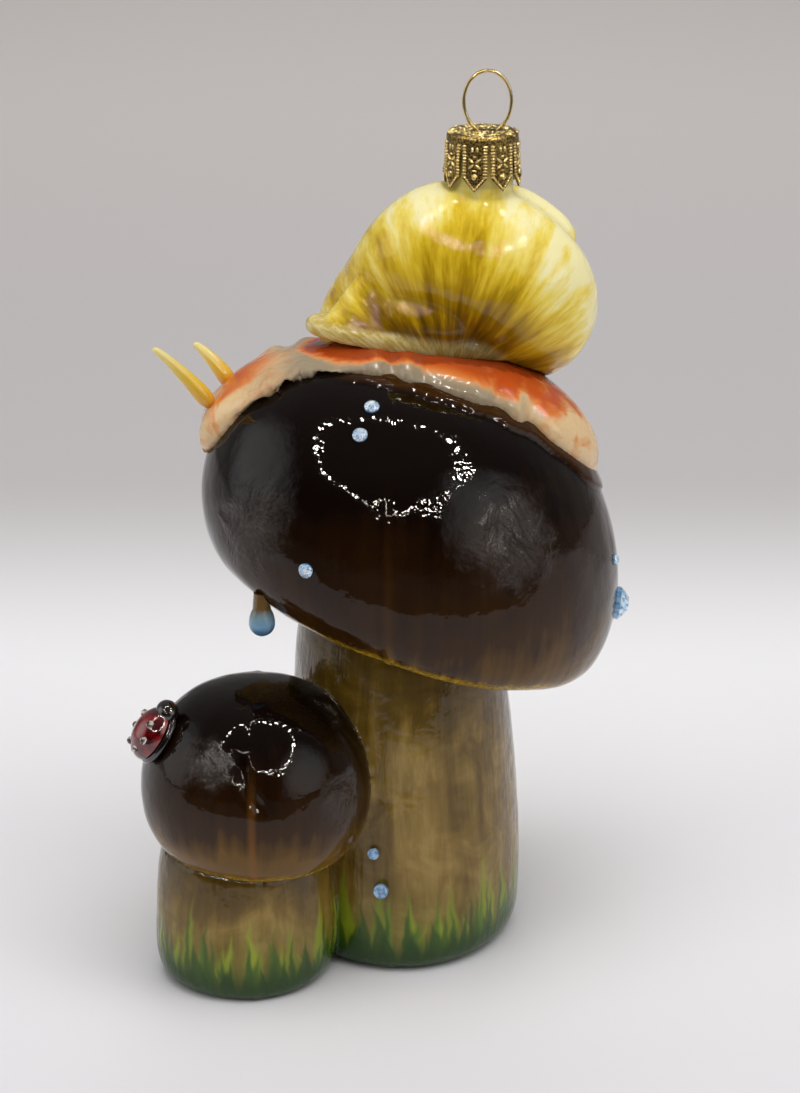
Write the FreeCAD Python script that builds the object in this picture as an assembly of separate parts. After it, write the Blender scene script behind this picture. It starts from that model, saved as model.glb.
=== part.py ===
import FreeCAD, Part
import math
import os
from FreeCAD import Placement, Rotation, Vector

# Hanging glass ornament: two mushrooms, a snail on the larger cap and a ladybird on the smaller one.
# Millimetres. The origin is the middle of the large stem's foot, +Z is up, the front faces -Y.
# The snail crawls to the left, towards -X.

# Shared fits
overrun = 1.0
touch = 0.02
seat_depth = 0.2
ray_reach = 120.0

# Large stem
large_stem_width = 43.4
large_stem_depth = 48.0
large_stem_top = 72.0
large_stem_middle = Vector(0.4, -2.2, 0.0)
foot_trim = 0.8

# Large cap
large_cap_width = 78.0
large_cap_depth = 68.0
large_cap_height = 51.0
large_cap_middle = Vector(3.6, 0.0, 0.0)
large_cap_underside = 56.0
large_cap_tilt = 12.5
large_cap_slope_share = 0.11
large_cap_top = large_cap_underside + large_cap_height
ground_side = 4 * large_cap_width

# Small stem
small_stem_width = 32.6
small_stem_depth = 31.8
small_stem_top = 31.0
small_stem_middle = Vector(-27.6, -21.6, 0.0)

# Small cap
small_cap_width = 41.0
small_cap_depth = 38.5
small_cap_height = 32.0
small_cap_middle = Vector(-25.2, -22.0, 0.0)
small_cap_underside = 23.3
small_cap_tilt = 2.0

# Snail body, along an arch from the head on the left to the tail on the right
snail_length = 71.0
snail_middle = -0.5
snail_settle = 1.1
snail_ridge = large_cap_top - snail_settle
snail_thickness = 12.0
snail_foot_width = 27.0
snail_head = Vector(snail_middle - snail_length / 2, 0.0, snail_ridge)

# Snail shell, a squashed spiral tube whose coil axis runs up and away from the viewer
shell_lift = 9.4
shell_middle = Vector(12.8, 6.5, large_cap_top + shell_lift)
shell_coil_radius = 13.8
shell_tube_radius = 13.5
shell_turn_ratio = 1.45
shell_spire_rise = 31.0
shell_depth_share = 0.8

# Neck of the shell, which carries the crown cap
neck_middle = Vector(14.2, 3.0, 0.0)
neck_rise = 30.9
neck_rim = shell_middle.z + neck_rise
neck_radius = 5.4
neck_wall = 0.8
neck_depth = 16.0
neck_length = 13.3
neck_root = neck_rim - neck_length

# Crown cap, stamped from thin brass sheet with eight pointed petals
crown_sheet = 0.35
crown_top_radius = 6.2
crown_hem_radius = 6.6
crown_height = 9.6
crown_shoulder = 0.8
crown_petals = 8
crown_slit = 0.7
crown_slit_height = 6.6
crown_tip_height = 2.4
crown_boss_radius = 0.85
crown_boss_height = 0.25
crown_boss_top_share = 0.7
crown_seat_gap = 0.1
crown_hem_gap = 0.3
slot_length = 4.9
slot_offset = 0.8
slot_width = 1.2
crown_turn = 8.75

# Hanging wire, one spring wire bent to a loop with two legs
wire_radius = 0.3
loop_half_width = 4.07
loop_half_height = 5.3
loop_rise = 4.9
throat_rise = 0.4
throat_radius = 1.2
leg_depth = 7.6
leg_spread = 3.0

# Tentacles, drawn-glass cones: base and tip radius
tentacle_base_radius = 2.0
tentacle_tip_radius = 0.65
front_tentacle_base = snail_head + Vector(3.0, -3.3, -5.7)
front_tentacle_tip = front_tentacle_base + Vector(-9.8, -2.2, 11.1)
rear_tentacle_base = snail_head + Vector(5.8, 4.2, -3.7)
rear_tentacle_tip = rear_tentacle_base + Vector(-6.4, 1.8, 6.8)
tentacle_bow = 0.7

# Dew drop under the large cap's left rim
drop_radius = 2.3
drop_length = 8.0
drop_compass = -52.0
drop_climb = -9.0
drop_melt = 0.5

# Glued stones: width across and height above the glass
stone_small = 2.05
stone_medium = 2.6
stone_large = 6.0
stone_height_share = 0.36
stone_table_share = 0.55
stone_girdle_share = 0.25
stone_sides = 8
stem_crystal_upper_height = 24.0
stem_crystal_lower_height = 17.0

# Ladybird on the small cap
bug_length = 11.0
bug_width = 8.6
bug_height = 5.0
bug_belly_height = 1.5
bug_head_radius = 2.0
bug_spot_width = 1.5
bug_seam_width = 0.3


def skin(rings, first, last):
    """A closed smooth solid over a net of rings that shrink to one point at each end, in two halves."""
    around = len(rings[0])
    rows = [[first] * around] + rings + [[last] * around]
    net = [[row[step] for row in rows] for step in range(around)]
    spans = len(rows) - 3
    surface = Part.BSplineSurface()
    surface.buildFromPolesMultsKnots(
        net,
        [1] * (around + 1),
        [4] + [1] * (spans - 1) + [4],
        list(range(around + 1)),
        list(range(spans + 1)),
        True,
        False,
        3,
        3,
    )
    halves = []
    for start in (0, around // 2):
        half = surface.copy()
        half.segment(start, start + around // 2, 0, spans)
        halves.append(half.toShape())
    shell = Part.makeShell(halves)
    shell.sewShape()
    solid = Part.Solid(shell)
    if solid.Volume < 0:
        solid.reverse()
    return solid


def spread_net(net, width, depth, height):
    """Moves and scales a net of rings so that its surface fills the named box, standing on the origin."""
    rings, first, last = net
    around = len(rings[0])
    rows = [[first] * around] + rings + [[last] * around]
    low, high = surface_box(rows)
    scale = [size / (high[axis] - low[axis]) for axis, size in enumerate((width, depth, height))]
    middle = [(low[0] + high[0]) / 2, (low[1] + high[1]) / 2, low[2]]

    def moved(point):
        return Vector(*((point[axis] - middle[axis]) * scale[axis] for axis in range(3)))

    return [[moved(point) for point in ring] for ring in rings], moved(first), moved(last)


def surface_box(rows):
    """The box of the smooth surface over a net of rows."""
    solid = skin(rows[1:-1], rows[0][0], rows[-1][0])
    box = solid.optimalBoundingBox(False, False)
    low = [box.XMin, box.YMin, box.ZMin]
    high = [box.XMax, box.YMax, box.ZMax]
    return low, high


def bulb(width, depth, height, row_shares, pole_shares, lobes=3, lobe_turn=0.0, slope_share=0.0, around=10):
    """A closed round form of the named width, depth and height, from rows of height, radius, lobe and
    lean shares. The slope share lowers the underside towards +X."""
    rings = []
    for height_share, radius_share, lobe_share, lean_share in row_shares:
        ring = []
        for step in range(around):
            angle = math.tau * step / around
            reach = radius_share * (1 + lobe_share * math.cos(lobes * angle - lobe_turn))
            across = reach * math.cos(angle) + lean_share
            drop = slope_share * across * (1 - height_share)
            ring.append(Vector(across, reach * math.sin(angle), height_share - drop))
        rings.append(ring)
    first = Vector(row_shares[0][3], 0, pole_shares[0])
    last = Vector(row_shares[-1][3], 0, pole_shares[1])
    return skin(*spread_net((rings, first, last), width, depth, height))


def settled(shape, middle, foot, height, tilt=0.0, turn=0.0):
    """The form set at its place, turned about its axis and tilted about the Y axis at half its height."""
    pivot = Vector(0, 0, height / 2)
    shape.rotate(pivot, Vector(0, 0, 1), turn)
    shape.rotate(pivot, Vector(0, 1, 0), tilt)
    shape.translate(middle + Vector(0, 0, foot))
    return shape


def below_ground():
    """The space under the surface that the ornament stands on."""
    block = Part.makeBox(ground_side, ground_side, foot_trim + overrun)
    block.translate(Vector(-ground_side / 2, -ground_side / 2, -foot_trim - overrun))
    return block


def surface_spot(solid, start, direction):
    """The point where a ray from inside the solid comes out, and the outward normal there."""
    ray = Part.makeLine(start, start + direction * ray_reach)
    inside = ray.common(solid)
    spot = max((vertex.Point for vertex in inside.Vertexes), key=lambda point: (point - start).Length)
    normal = direction
    for face in solid.Faces:
        across, along = face.Surface.parameter(spot)
        if (face.Surface.value(across, along) - spot).Length < touch:
            normal = face.normalAt(across, along)
    if normal.dot(direction) < 0:
        normal = -normal
    return spot, normal


def large_cap_core():
    """The middle of the large cap's widest level, from which rays find places on its skin."""
    core_share = 0.42
    return large_cap_middle + Vector(0, 0, large_cap_underside + large_cap_height * core_share)


def large_stem_form():
    row_shares = (
        (0.00, 0.60, 0.00, 0.00),
        (0.00, 1.00, 0.02, 0.00),
        (0.08, 1.04, 0.02, 0.00),
        (0.32, 1.02, 0.01, 0.02),
        (0.65, 0.93, 0.00, 0.00),
        (0.92, 0.86, 0.00, -0.02),
        (1.00, 0.60, 0.00, -0.02),
    )
    height = large_stem_top + foot_trim
    form = bulb(large_stem_width, large_stem_depth, height, row_shares, (0.0, 1.0), lobes=5, lobe_turn=0.6)
    return settled(form, large_stem_middle, -foot_trim, large_stem_top).cut(below_ground())


def small_stem_form():
    row_shares = (
        (0.00, 0.60, 0.00, 0.00),
        (0.00, 0.96, 0.03, 0.00),
        (0.20, 1.04, 0.03, 0.00),
        (0.60, 1.00, 0.01, 0.00),
        (0.95, 0.90, 0.00, 0.00),
        (1.00, 0.60, 0.00, 0.00),
    )
    height = small_stem_top + foot_trim
    form = bulb(small_stem_width, small_stem_depth, height, row_shares, (0.0, 1.0), lobes=5, lobe_turn=2.0)
    return settled(form, small_stem_middle, -foot_trim, small_stem_top, 0.0, 180).cut(below_ground())


def large_cap_form():
    row_shares = (
        (0.10, 0.30, 0.00, 0.06),
        (0.02, 0.62, 0.00, 0.06),
        (0.02, 0.88, 0.00, 0.04),
        (0.12, 1.02, 0.01, 0.02),
        (0.38, 1.07, 0.01, 0.00),
        (0.72, 0.94, 0.00, -0.06),
        (1.00, 0.61, 0.00, -0.10),
        (1.04, 0.24, 0.00, -0.10),
    )
    form = bulb(
        large_cap_width,
        large_cap_depth,
        large_cap_height,
        row_shares,
        (0.10, 1.04),
        lobes=3,
        lobe_turn=0.5,
        slope_share=large_cap_slope_share,
    )
    return settled(form, large_cap_middle, large_cap_underside, large_cap_height, large_cap_tilt)


def small_cap_form():
    row_shares = (
        (0.06, 0.35, 0.00, 0.00),
        (0.00, 0.66, 0.00, 0.00),
        (0.08, 0.90, 0.01, 0.00),
        (0.38, 1.08, 0.02, 0.00),
        (0.74, 0.97, 0.02, 0.00),
        (1.00, 0.60, 0.01, 0.00),
        (1.04, 0.24, 0.00, 0.00),
    )
    form = bulb(
        small_cap_width,
        small_cap_depth,
        small_cap_height,
        row_shares,
        (0.06, 1.04),
        lobes=4,
        lobe_turn=0.9,
    )
    return settled(form, small_cap_middle, small_cap_underside, small_cap_height, small_cap_tilt, 180)


def snail_body_form():
    """The snail's head, back and tail: rings along an arch over the large cap, each wider at its foot."""
    # Share of the length, of the thickness under the ridge, of the thickness and of the width, and the
    # lean of the ring in degrees
    station_shares = (
        (0.045, -0.95, 0.34, 0.26, -72),
        (0.10, -0.55, 0.46, 0.33, -52),
        (0.20, -0.19, 0.50, 0.37, -30),
        (0.39, 0.00, 0.50, 0.44, -12),
        (0.52, 0.03, 0.50, 0.47, -3),
        (0.65, -0.07, 0.48, 0.50, 6),
        (0.79, -0.33, 0.50, 0.48, 24),
        (0.92, -0.92, 0.46, 0.37, 48),
        (0.97, -1.42, 0.38, 0.26, 64),
    )
    foot_flare_share = 0.22
    head_tip_shares = (0.038, -1.30)
    tail_tip_shares = (0.99, -1.75)
    around = 10

    def place(along_share, drop_share):
        along = snail_middle + (along_share - 0.5) * snail_length
        return Vector(along, 0, snail_ridge + drop_share * snail_thickness)

    rings = []
    for along_share, drop_share, thick_share, wide_share, lean in station_shares:
        middle = place(along_share, drop_share)
        up = Vector(math.sin(math.radians(lean)), 0, math.cos(math.radians(lean)))
        ring = []
        for step in range(around):
            angle = math.tau * step / around
            rise = math.cos(angle) * thick_share * snail_thickness
            flare = 1 + foot_flare_share * max(0.0, -math.cos(angle))
            reach = math.sin(angle) * wide_share * snail_foot_width * flare
            ring.append(middle + up * rise + Vector(0, reach, 0))
        rings.append(ring)
    return skin(rings, place(*head_tip_shares), place(*tail_tip_shares))


def whorl(first_step, last_step, flare_shares, fill_share, around=10):
    """One stretch of the shell's spiral tube. Steps are twelfths of a turn, back from the mouth.
    The flare shares widen or narrow the first rings. The fill rounds out the side away from the spire."""
    steps_per_turn = 12
    fill_side = 250
    spire = Vector(0.55, 0.62, 0.56)
    spire.normalize()
    left = Vector(-1, 0, 0) - spire * Vector(-1, 0, 0).dot(spire)
    left.normalize()
    rise = spire.cross(left)

    def tube_ring(turn, flare, width_share):
        shrink = shell_turn_ratio ** (-turn)
        angle = math.tau * turn
        outward = left * math.cos(angle) + rise * math.sin(angle)
        middle = outward * (shell_coil_radius * shrink * flare) + spire * (shell_spire_rise * (1 - shrink))
        tube = shell_tube_radius * shrink * flare * width_share
        ring = []
        for step in range(around):
            phase = math.tau * step / around
            fill = 1 + fill_share * max(0.0, math.cos(phase - math.radians(fill_side)))
            point = middle + (outward * math.cos(phase) + spire * math.sin(phase)) * (tube * fill)
            point.y = point.y * shell_depth_share
            ring.append(shell_middle + point)
        middle.y = middle.y * shell_depth_share
        return ring, shell_middle + middle

    flares = list(flare_shares) + [1.0] * (last_step - first_step + 1 - len(flare_shares))
    turns = [step / steps_per_turn for step in range(first_step, last_step + 1)]
    rings = [tube_ring(turn, flare, 1.0)[0] for turn, flare in zip(turns, flares)]
    first_inner, first = tube_ring(turns[0], flares[0], 0.5)
    last_inner, last = tube_ring(turns[-1], 1.0, 0.5)
    return skin([first_inner] + rings + [last_inner], first, last)


def snail_shell_form():
    """The flared mouth and body whorl, then the whorl behind it, each begun inside the last."""
    mouth_shares = (1.30, 0.88, 0.92, 0.99)
    start_shares = (0.7, 0.9)
    base_fill_share = 0.34
    body_whorl = whorl(-1, 8, mouth_shares, base_fill_share)
    spire_whorl = whorl(7, 17, start_shares, 0.0)
    apex = whorl(16, 26, start_shares, 0.0)
    return body_whorl.fuse(spire_whorl.fuse(apex))


def neck_form():
    neck = Part.makeCylinder(neck_radius, neck_rim - neck_root)
    neck.translate(neck_middle + Vector(0, 0, neck_root))
    return neck


def neck_bore():
    bore = Part.makeCylinder(neck_radius - neck_wall, neck_depth + overrun)
    bore.translate(neck_middle + Vector(0, 0, neck_rim - neck_depth))
    return bore


def neck_shoulder():
    """The flat ring round the neck that leaves room for the crown cap's hem."""
    outer = crown_hem_radius + crown_boss_height + crown_hem_gap
    floor = neck_rim + crown_seat_gap + crown_sheet - crown_height - crown_hem_gap
    ring = Part.makeCylinder(outer, neck_rim - floor).cut(Part.makeCylinder(neck_radius, neck_rim - floor))
    ring.translate(neck_middle + Vector(0, 0, floor))
    return ring


def tentacle(base, tip):
    """A slim cone of drawn glass with a slight upward bow and a rounded tip."""
    length_shares = (0.0, 0.3, 0.6, 0.88, 1.0)
    around = 8
    along = tip - base
    side = along.cross(Vector(0, 1, 0))
    side.normalize()
    up = along.cross(side)
    up.normalize()

    def place(share):
        return base + along * share + Vector(0, 0, 4 * tentacle_bow * share * (1 - share))

    rings = []
    for share in length_shares:
        radius = tentacle_base_radius + (tentacle_tip_radius - tentacle_base_radius) * share
        turns = [math.tau * step / around for step in range(around)]
        spokes = [side * math.cos(turn) + up * math.sin(turn) for turn in turns]
        rings.append([place(share) + spoke * radius for spoke in spokes])
    return skin(rings, place(0.0), place(1.0))


def dew_drop(carrier):
    """A hanging drop: round below, drawn to a neck that melts into the cap's rim."""
    # Radius and height shares of the ball's side, its widest ring, the side above, the waist and the neck
    drop_shares = ((0.72, 0.09), (1.00, 0.29), (0.93, 0.45), (0.70, 0.62), (0.60, 1.00))
    low_side, widest, high_side, waist, neck = (
        Vector(drop_radius * radius_share, 0, drop_length * height_share)
        for radius_share, height_share in drop_shares
    )
    bottom = Vector(0, 0, 0)
    top = Vector(0, 0, drop_length)
    edges = [
        Part.Arc(bottom, low_side, widest).toShape(),
        Part.Arc(widest, high_side, waist).toShape(),
        Part.makeLine(waist, neck),
        Part.makeLine(neck, top),
        Part.makeLine(top, bottom),
    ]
    drop = Part.Face(Part.Wire(edges)).revolve(bottom, Vector(0, 0, 1), 360)
    spot, normal = surface_spot(carrier, large_cap_core(), heading(drop_compass, drop_climb))
    drop.translate(spot - normal * drop_melt - top)
    return drop.cut(carrier)


def polygon(sides, width, height):
    turns = [math.tau * side / sides for side in range(sides + 1)]
    radius = width / 2
    corners = [Vector(radius * math.cos(turn), radius * math.sin(turn), height) for turn in turns]
    return Part.makePolygon(corners)


def stone(width):
    """A flat-backed cut stone: a low girdle, sloping facets and a flat table."""
    height = width * stone_height_share
    girdle = height * stone_girdle_share
    return Part.makeLoft(
        [
            polygon(stone_sides, width, -seat_depth),
            polygon(stone_sides, width, girdle),
            polygon(stone_sides, width * stone_table_share, height),
        ],
        True,
        True,
    )


def seated(shape, carrier, start, direction):
    """The shape set on the carrier's surface where a ray comes out, and trimmed to it."""
    spot, normal = surface_spot(carrier, start, direction)
    shape.Placement = Placement(spot, Rotation(Vector(0, 0, 1), normal))
    return shape.cut(carrier)


def heading(compass, climb=0.0):
    """A direction: 0 degrees faces the viewer, 90 points right; climb is its angle above level."""
    turn = math.radians(compass)
    rise = math.radians(climb)
    return Vector(math.sin(turn) * math.cos(rise), -math.cos(turn) * math.cos(rise), math.sin(rise))


def crown_cap():
    """The stamped cap: a disc with the wire's slot, a rounded shoulder and a skirt slit into petals."""
    top = neck_rim + crown_seat_gap + crown_sheet
    hem = top - crown_height

    def wall(inset):
        edge_top = top - inset
        shoulder_start = Vector(crown_top_radius - crown_shoulder, 0, edge_top)
        shoulder_end = Vector(crown_top_radius - inset, 0, top - crown_shoulder)
        lean = math.sqrt(0.5)
        middle = Vector(
            crown_top_radius - crown_shoulder + (crown_shoulder - inset) * lean,
            0,
            top - crown_shoulder + (crown_shoulder - inset) * lean,
        )
        hem_end = Vector(crown_hem_radius - inset, 0, hem)
        return shoulder_start, middle, shoulder_end, hem_end

    outer = wall(0)
    inner = wall(crown_sheet)
    edges = [
        Part.makeLine(Vector(0, 0, top), outer[0]),
        Part.Arc(outer[0], outer[1], outer[2]).toShape(),
        Part.makeLine(outer[2], outer[3]),
        Part.makeLine(outer[3], inner[3]),
        Part.makeLine(inner[3], inner[2]),
        Part.Arc(inner[2], inner[1], inner[0]).toShape(),
        Part.makeLine(inner[0], Vector(0, 0, top - crown_sheet)),
        Part.makeLine(Vector(0, 0, top - crown_sheet), Vector(0, 0, top)),
    ]
    cap = Part.Face(Part.Wire(edges)).revolve(Vector(0, 0, 0), Vector(0, 0, 1), 360)

    pitch = math.tau * crown_hem_radius / crown_petals
    corners = [
        Vector(0, -pitch / 2, hem),
        Vector(0, -crown_slit / 2, hem + crown_tip_height),
        Vector(0, -crown_slit / 2, hem + crown_slit_height),
        Vector(0, crown_slit / 2, hem + crown_slit_height),
        Vector(0, crown_slit / 2, hem + crown_tip_height),
        Vector(0, pitch / 2, hem),
        Vector(0, pitch / 2, hem - overrun),
        Vector(0, -pitch / 2, hem - overrun),
        Vector(0, -pitch / 2, hem),
    ]
    notch = Part.Face(Part.makePolygon(corners)).extrude(Vector(crown_hem_radius + overrun, 0, 0))
    boss_place = crown_hem_radius - crown_sheet
    boss = Part.makeCone(
        crown_boss_radius,
        crown_boss_radius * crown_boss_top_share,
        crown_sheet + crown_boss_height,
        Vector(boss_place, 0, hem + crown_tip_height),
        Vector(1, 0, 0),
    )
    notches = []
    bosses = []
    for petal in range(crown_petals):
        turn = crown_turn + 360 / crown_petals * petal
        cut = notch.copy()
        cut.rotate(Vector(0, 0, 0), Vector(0, 0, 1), turn)
        notches.append(cut)
        knob = boss.copy()
        knob.rotate(Vector(0, 0, 0), Vector(0, 0, 1), turn + 180 / crown_petals)
        bosses.append(knob)
    slot = Part.makeBox(slot_length, slot_width, crown_sheet + 2 * overrun)
    slot.translate(Vector(slot_offset - slot_length / 2, -slot_width / 2, top - crown_sheet - overrun))
    cap = cap.cut(notches + [slot]).fuse(bosses)
    cap.translate(neck_middle)
    return cap


def hanger_wire():
    """One spring wire: an oval loop, a throat through the slot, and two legs spread inside the neck."""
    slot_height = neck_rim + crown_seat_gap + crown_sheet
    loop_middle = slot_height + loop_rise
    open_angle = math.acos((loop_rise - throat_rise) / loop_half_height)
    meet_across = loop_half_width * math.sin(open_angle)
    lean = math.atan2(loop_half_width * math.cos(open_angle), loop_half_height * math.sin(open_angle))

    def side_edges(side):
        # The loop's end turns on the throat's arc until it points at the foot of its leg
        def place(across, height):
            return Vector(side * across, 0, height)

        bend_across = meet_across + throat_radius * math.cos(lean)
        bend_height = slot_height + throat_rise - throat_radius * math.sin(lean)
        down = bend_height - (slot_height - leg_depth)
        inward = bend_across - leg_spread
        swing = math.asin(throat_radius / math.hypot(inward, down)) - math.atan2(inward, down)

        def on_bend(angle):
            across = bend_across - throat_radius * math.cos(angle)
            return place(across, bend_height - throat_radius * math.sin(angle))

        meet = place(meet_across, slot_height + throat_rise)
        return [
            Part.makeLine(place(leg_spread, slot_height - leg_depth), on_bend(swing)),
            Part.Arc(on_bend(swing), on_bend((swing - lean) / 2), meet).toShape(),
        ]

    left_edges = side_edges(-1)
    right_edges = side_edges(1)
    centre = Vector(0, 0, loop_middle)
    top = centre + Vector(0, 0, loop_half_height)
    oval = Part.Ellipse(top, centre + Vector(loop_half_width, 0, 0), centre)
    loop = Part.ArcOfEllipse(oval, open_angle - math.pi, math.pi - open_angle).toShape()
    path = Part.Wire(left_edges + [loop] + right_edges[::-1])
    start = left_edges[0].Vertexes[0].Point
    direction = left_edges[0].Vertexes[1].Point - start
    section = Part.Wire([Part.Circle(start, direction, wire_radius).toShape()])
    wire = path.makePipeShell([section], True, False)
    wire.translate(neck_middle + Vector(slot_offset, 0, 0))
    return wire


def ladybird(carrier):
    """The underbody, wing cases, head and set stones of the ladybird, seated on the small cap."""
    core_share = 0.4
    under_shares = (0.97, 1.02, 0.3)
    case_shares = (0.92, 0.94)
    head_shares = (0.86, 1.2)
    seam_shares = (0.85, 0.75)
    spot_start_share = 0.6
    spot_shares = ((0.35, 0.45), (0.35, -0.45), (-0.15, 0.62), (-0.15, -0.62), (-0.6, 0.34), (-0.6, -0.34))

    start = small_cap_middle + Vector(0, 0, small_cap_underside + small_cap_height * core_share)
    spot, normal = surface_spot(carrier, start, heading(-73, 33))
    ahead = Vector(0.25, 0.0, 1.0)
    forward = ahead - normal * ahead.dot(normal)
    forward.normalize()
    side = normal.cross(forward)
    frame = Placement(spot, Rotation(forward, side, normal, "XZY"))
    half_length = bug_length / 2
    half_width = bug_width / 2

    # The ball's seam lies at the tail of the body; the head's poles point forwards and backwards
    body_turn = Rotation(Vector(0, 0, 1), 180)
    head_turn = Rotation(Vector(0, 1, 0), 90)

    def dome(length, width, height, base, turn=body_turn):
        ball = Part.makeSphere(1.0)
        ball.transformShape(Placement(Vector(0, 0, 0), turn).toMatrix())
        matrix = FreeCAD.Matrix()
        matrix.scale(length, width, height)
        shaped = ball.transformGeometry(matrix)
        shaped.translate(Vector(0, 0, base))
        return shaped

    under = dome(
        half_length * under_shares[0],
        half_width * under_shares[1],
        bug_belly_height,
        bug_belly_height * under_shares[2],
    )
    cases = dome(
        half_length * case_shares[0],
        half_width * case_shares[1],
        bug_height - bug_belly_height,
        bug_belly_height,
    )
    floor_side = bug_length * 2
    floor = Part.makeBox(floor_side, floor_side, floor_side)
    floor.translate(Vector(-floor_side / 2, -floor_side / 2, bug_belly_height - floor_side))
    seam = Part.makeBox(bug_length, bug_seam_width, bug_height)
    seam.translate(Vector(-bug_length * seam_shares[0], -bug_seam_width / 2, bug_height * seam_shares[1]))
    cases = cases.cut(floor).cut(seam)
    head = dome(
        bug_head_radius,
        bug_head_radius * head_shares[1],
        bug_head_radius,
        bug_belly_height,
        head_turn,
    )
    head.translate(Vector(half_length * head_shares[0], 0, 0))
    under = under.cut(cases)
    head = head.cut(under).cut(cases)
    spots = []
    for along_share, across_share in spot_shares:
        along = half_length * along_share * spot_start_share
        across = half_width * across_share * spot_start_share
        direction = Vector(along_share, across_share, 1.0)
        direction.normalize()
        start = Vector(along, across, bug_belly_height)
        spots.append(seated(stone(bug_spot_width), cases, start, direction))
    pieces = [under, cases, head, Part.makeCompound(spots)]
    for piece in pieces:
        piece.Placement = frame.multiply(piece.Placement)
    under, cases, head, stones = pieces
    return under.cut(carrier), cases.cut(carrier), head.cut(carrier), stones


def stones_on(cap, stem):
    """Every single stone: its node name, width, carrier, start of the ray and its direction."""
    cap_core = large_cap_core()
    stem_upper = Vector(0, 0, stem_crystal_upper_height)
    stem_lower = Vector(0, 0, stem_crystal_lower_height)
    return (
        ("cap_crystal_upper", stone_medium, cap, cap_core, heading(-24, 43)),
        ("cap_crystal_top", stone_medium, cap, cap_core, heading(-24, 53)),
        ("cap_crystal_front", stone_medium, cap, cap_core, heading(-33, 3)),
        ("cap_crystal_right", stone_small, cap, cap_core, heading(80, -8)),
        ("rim_crystal_large", stone_large, cap, cap_core, heading(88, -23)),
        ("stem_crystal_upper", stone_small, stem, stem_upper, heading(-9)),
        ("stem_crystal_lower", stone_medium, stem, stem_lower, heading(-7)),
    )


def build():
    large_cap = large_cap_form()
    large_stem_whole = large_stem_form()
    small_cap_whole = small_cap_form()
    large_stem = large_stem_whole.cut(large_cap)
    small_cap = small_cap_whole.cut(large_stem_whole)
    small_stem = small_stem_form().cut(small_cap_whole).cut(large_stem_whole)
    body_whole = snail_body_form()
    shell_form = snail_shell_form().cut(neck_shoulder()).fuse(neck_form()).cut(neck_bore())
    snail_shell = shell_form.cut(body_whole).cut(large_cap)
    snail_body = body_whole.cut(large_cap)
    nodes = {
        "large_cap": large_cap,
        "large_stem": large_stem,
        "small_cap": small_cap,
        "small_stem": small_stem,
        "snail_body": snail_body,
        "snail_shell": snail_shell,
        "front_tentacle": tentacle(front_tentacle_base, front_tentacle_tip).cut(body_whole).cut(large_cap),
        "rear_tentacle": tentacle(rear_tentacle_base, rear_tentacle_tip).cut(body_whole).cut(large_cap),
        "dew_drop": dew_drop(large_cap),
        "crown_cap": crown_cap(),
        "hanger_wire": hanger_wire(),
    }
    under, cases, head, spots = ladybird(small_cap)
    nodes["ladybird_underbody"] = under
    nodes["ladybird_wing_cases"] = cases
    nodes["ladybird_head"] = head
    nodes["ladybird_spots"] = spots
    for name, width, carrier, start, direction in stones_on(large_cap, large_stem):
        nodes[name] = seated(stone(width), carrier, start, direction)
    return nodes


os.makedirs("parts", exist_ok=True)
for name, shape in build().items():
    shape.exportStep("parts/" + name + ".step")
    print(name, len(shape.Solids), shape.isValid(), round(shape.Volume, 1))
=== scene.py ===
import math

import bpy
import numpy as np
from mathutils import Matrix, Vector
from mathutils.bvhtree import BVHTree


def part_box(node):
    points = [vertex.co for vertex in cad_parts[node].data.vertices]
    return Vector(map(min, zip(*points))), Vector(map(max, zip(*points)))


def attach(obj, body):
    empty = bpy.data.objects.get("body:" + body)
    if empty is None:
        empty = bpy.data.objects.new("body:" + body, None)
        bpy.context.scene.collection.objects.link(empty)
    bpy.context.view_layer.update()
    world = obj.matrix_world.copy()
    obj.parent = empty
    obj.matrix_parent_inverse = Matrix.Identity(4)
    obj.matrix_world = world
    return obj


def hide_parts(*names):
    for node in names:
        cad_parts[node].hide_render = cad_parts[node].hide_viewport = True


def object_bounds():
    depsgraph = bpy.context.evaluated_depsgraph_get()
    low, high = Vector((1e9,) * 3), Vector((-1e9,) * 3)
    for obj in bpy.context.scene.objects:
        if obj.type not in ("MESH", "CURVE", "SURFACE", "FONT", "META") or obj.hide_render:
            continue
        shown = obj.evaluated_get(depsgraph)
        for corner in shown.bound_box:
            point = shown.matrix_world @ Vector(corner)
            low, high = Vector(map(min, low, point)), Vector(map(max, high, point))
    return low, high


bl_info = {
    "name": "Blown glass mushroom ornament",
    "version": (1, 0, 0),
    "blender": (4, 5, 0),
    "location": "3D View > Sidebar > Ornament",
    "description": "Dresses the ornament's solids in painted glass, stamped brass and cut stones",
    "category": "Object",
}

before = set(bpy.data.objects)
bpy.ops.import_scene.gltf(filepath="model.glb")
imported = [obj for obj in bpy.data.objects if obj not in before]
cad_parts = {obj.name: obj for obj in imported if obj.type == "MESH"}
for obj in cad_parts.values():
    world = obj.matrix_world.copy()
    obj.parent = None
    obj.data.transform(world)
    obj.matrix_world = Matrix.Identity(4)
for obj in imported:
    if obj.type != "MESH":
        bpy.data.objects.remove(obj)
cad_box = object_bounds()
MM = 0.001


def linear(hex_value):
    """An sRGB hex value as the linear colour that a shader works in."""
    channels = [int(hex_value[at:at + 2], 16) / 255 for at in (1, 3, 5)]
    return tuple(c / 12.92 if c <= 0.04045 else ((c + 0.055) / 1.055) ** 2.4 for c in channels) + (1.0,)


def colour_setting(name, hex_value, description):
    """A colour that the sidebar shows."""
    return bpy.props.FloatVectorProperty(
        name=name, description=description, subtype="COLOR", size=4, min=0.0, max=1.0,
        default=linear(hex_value),
    )


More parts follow.
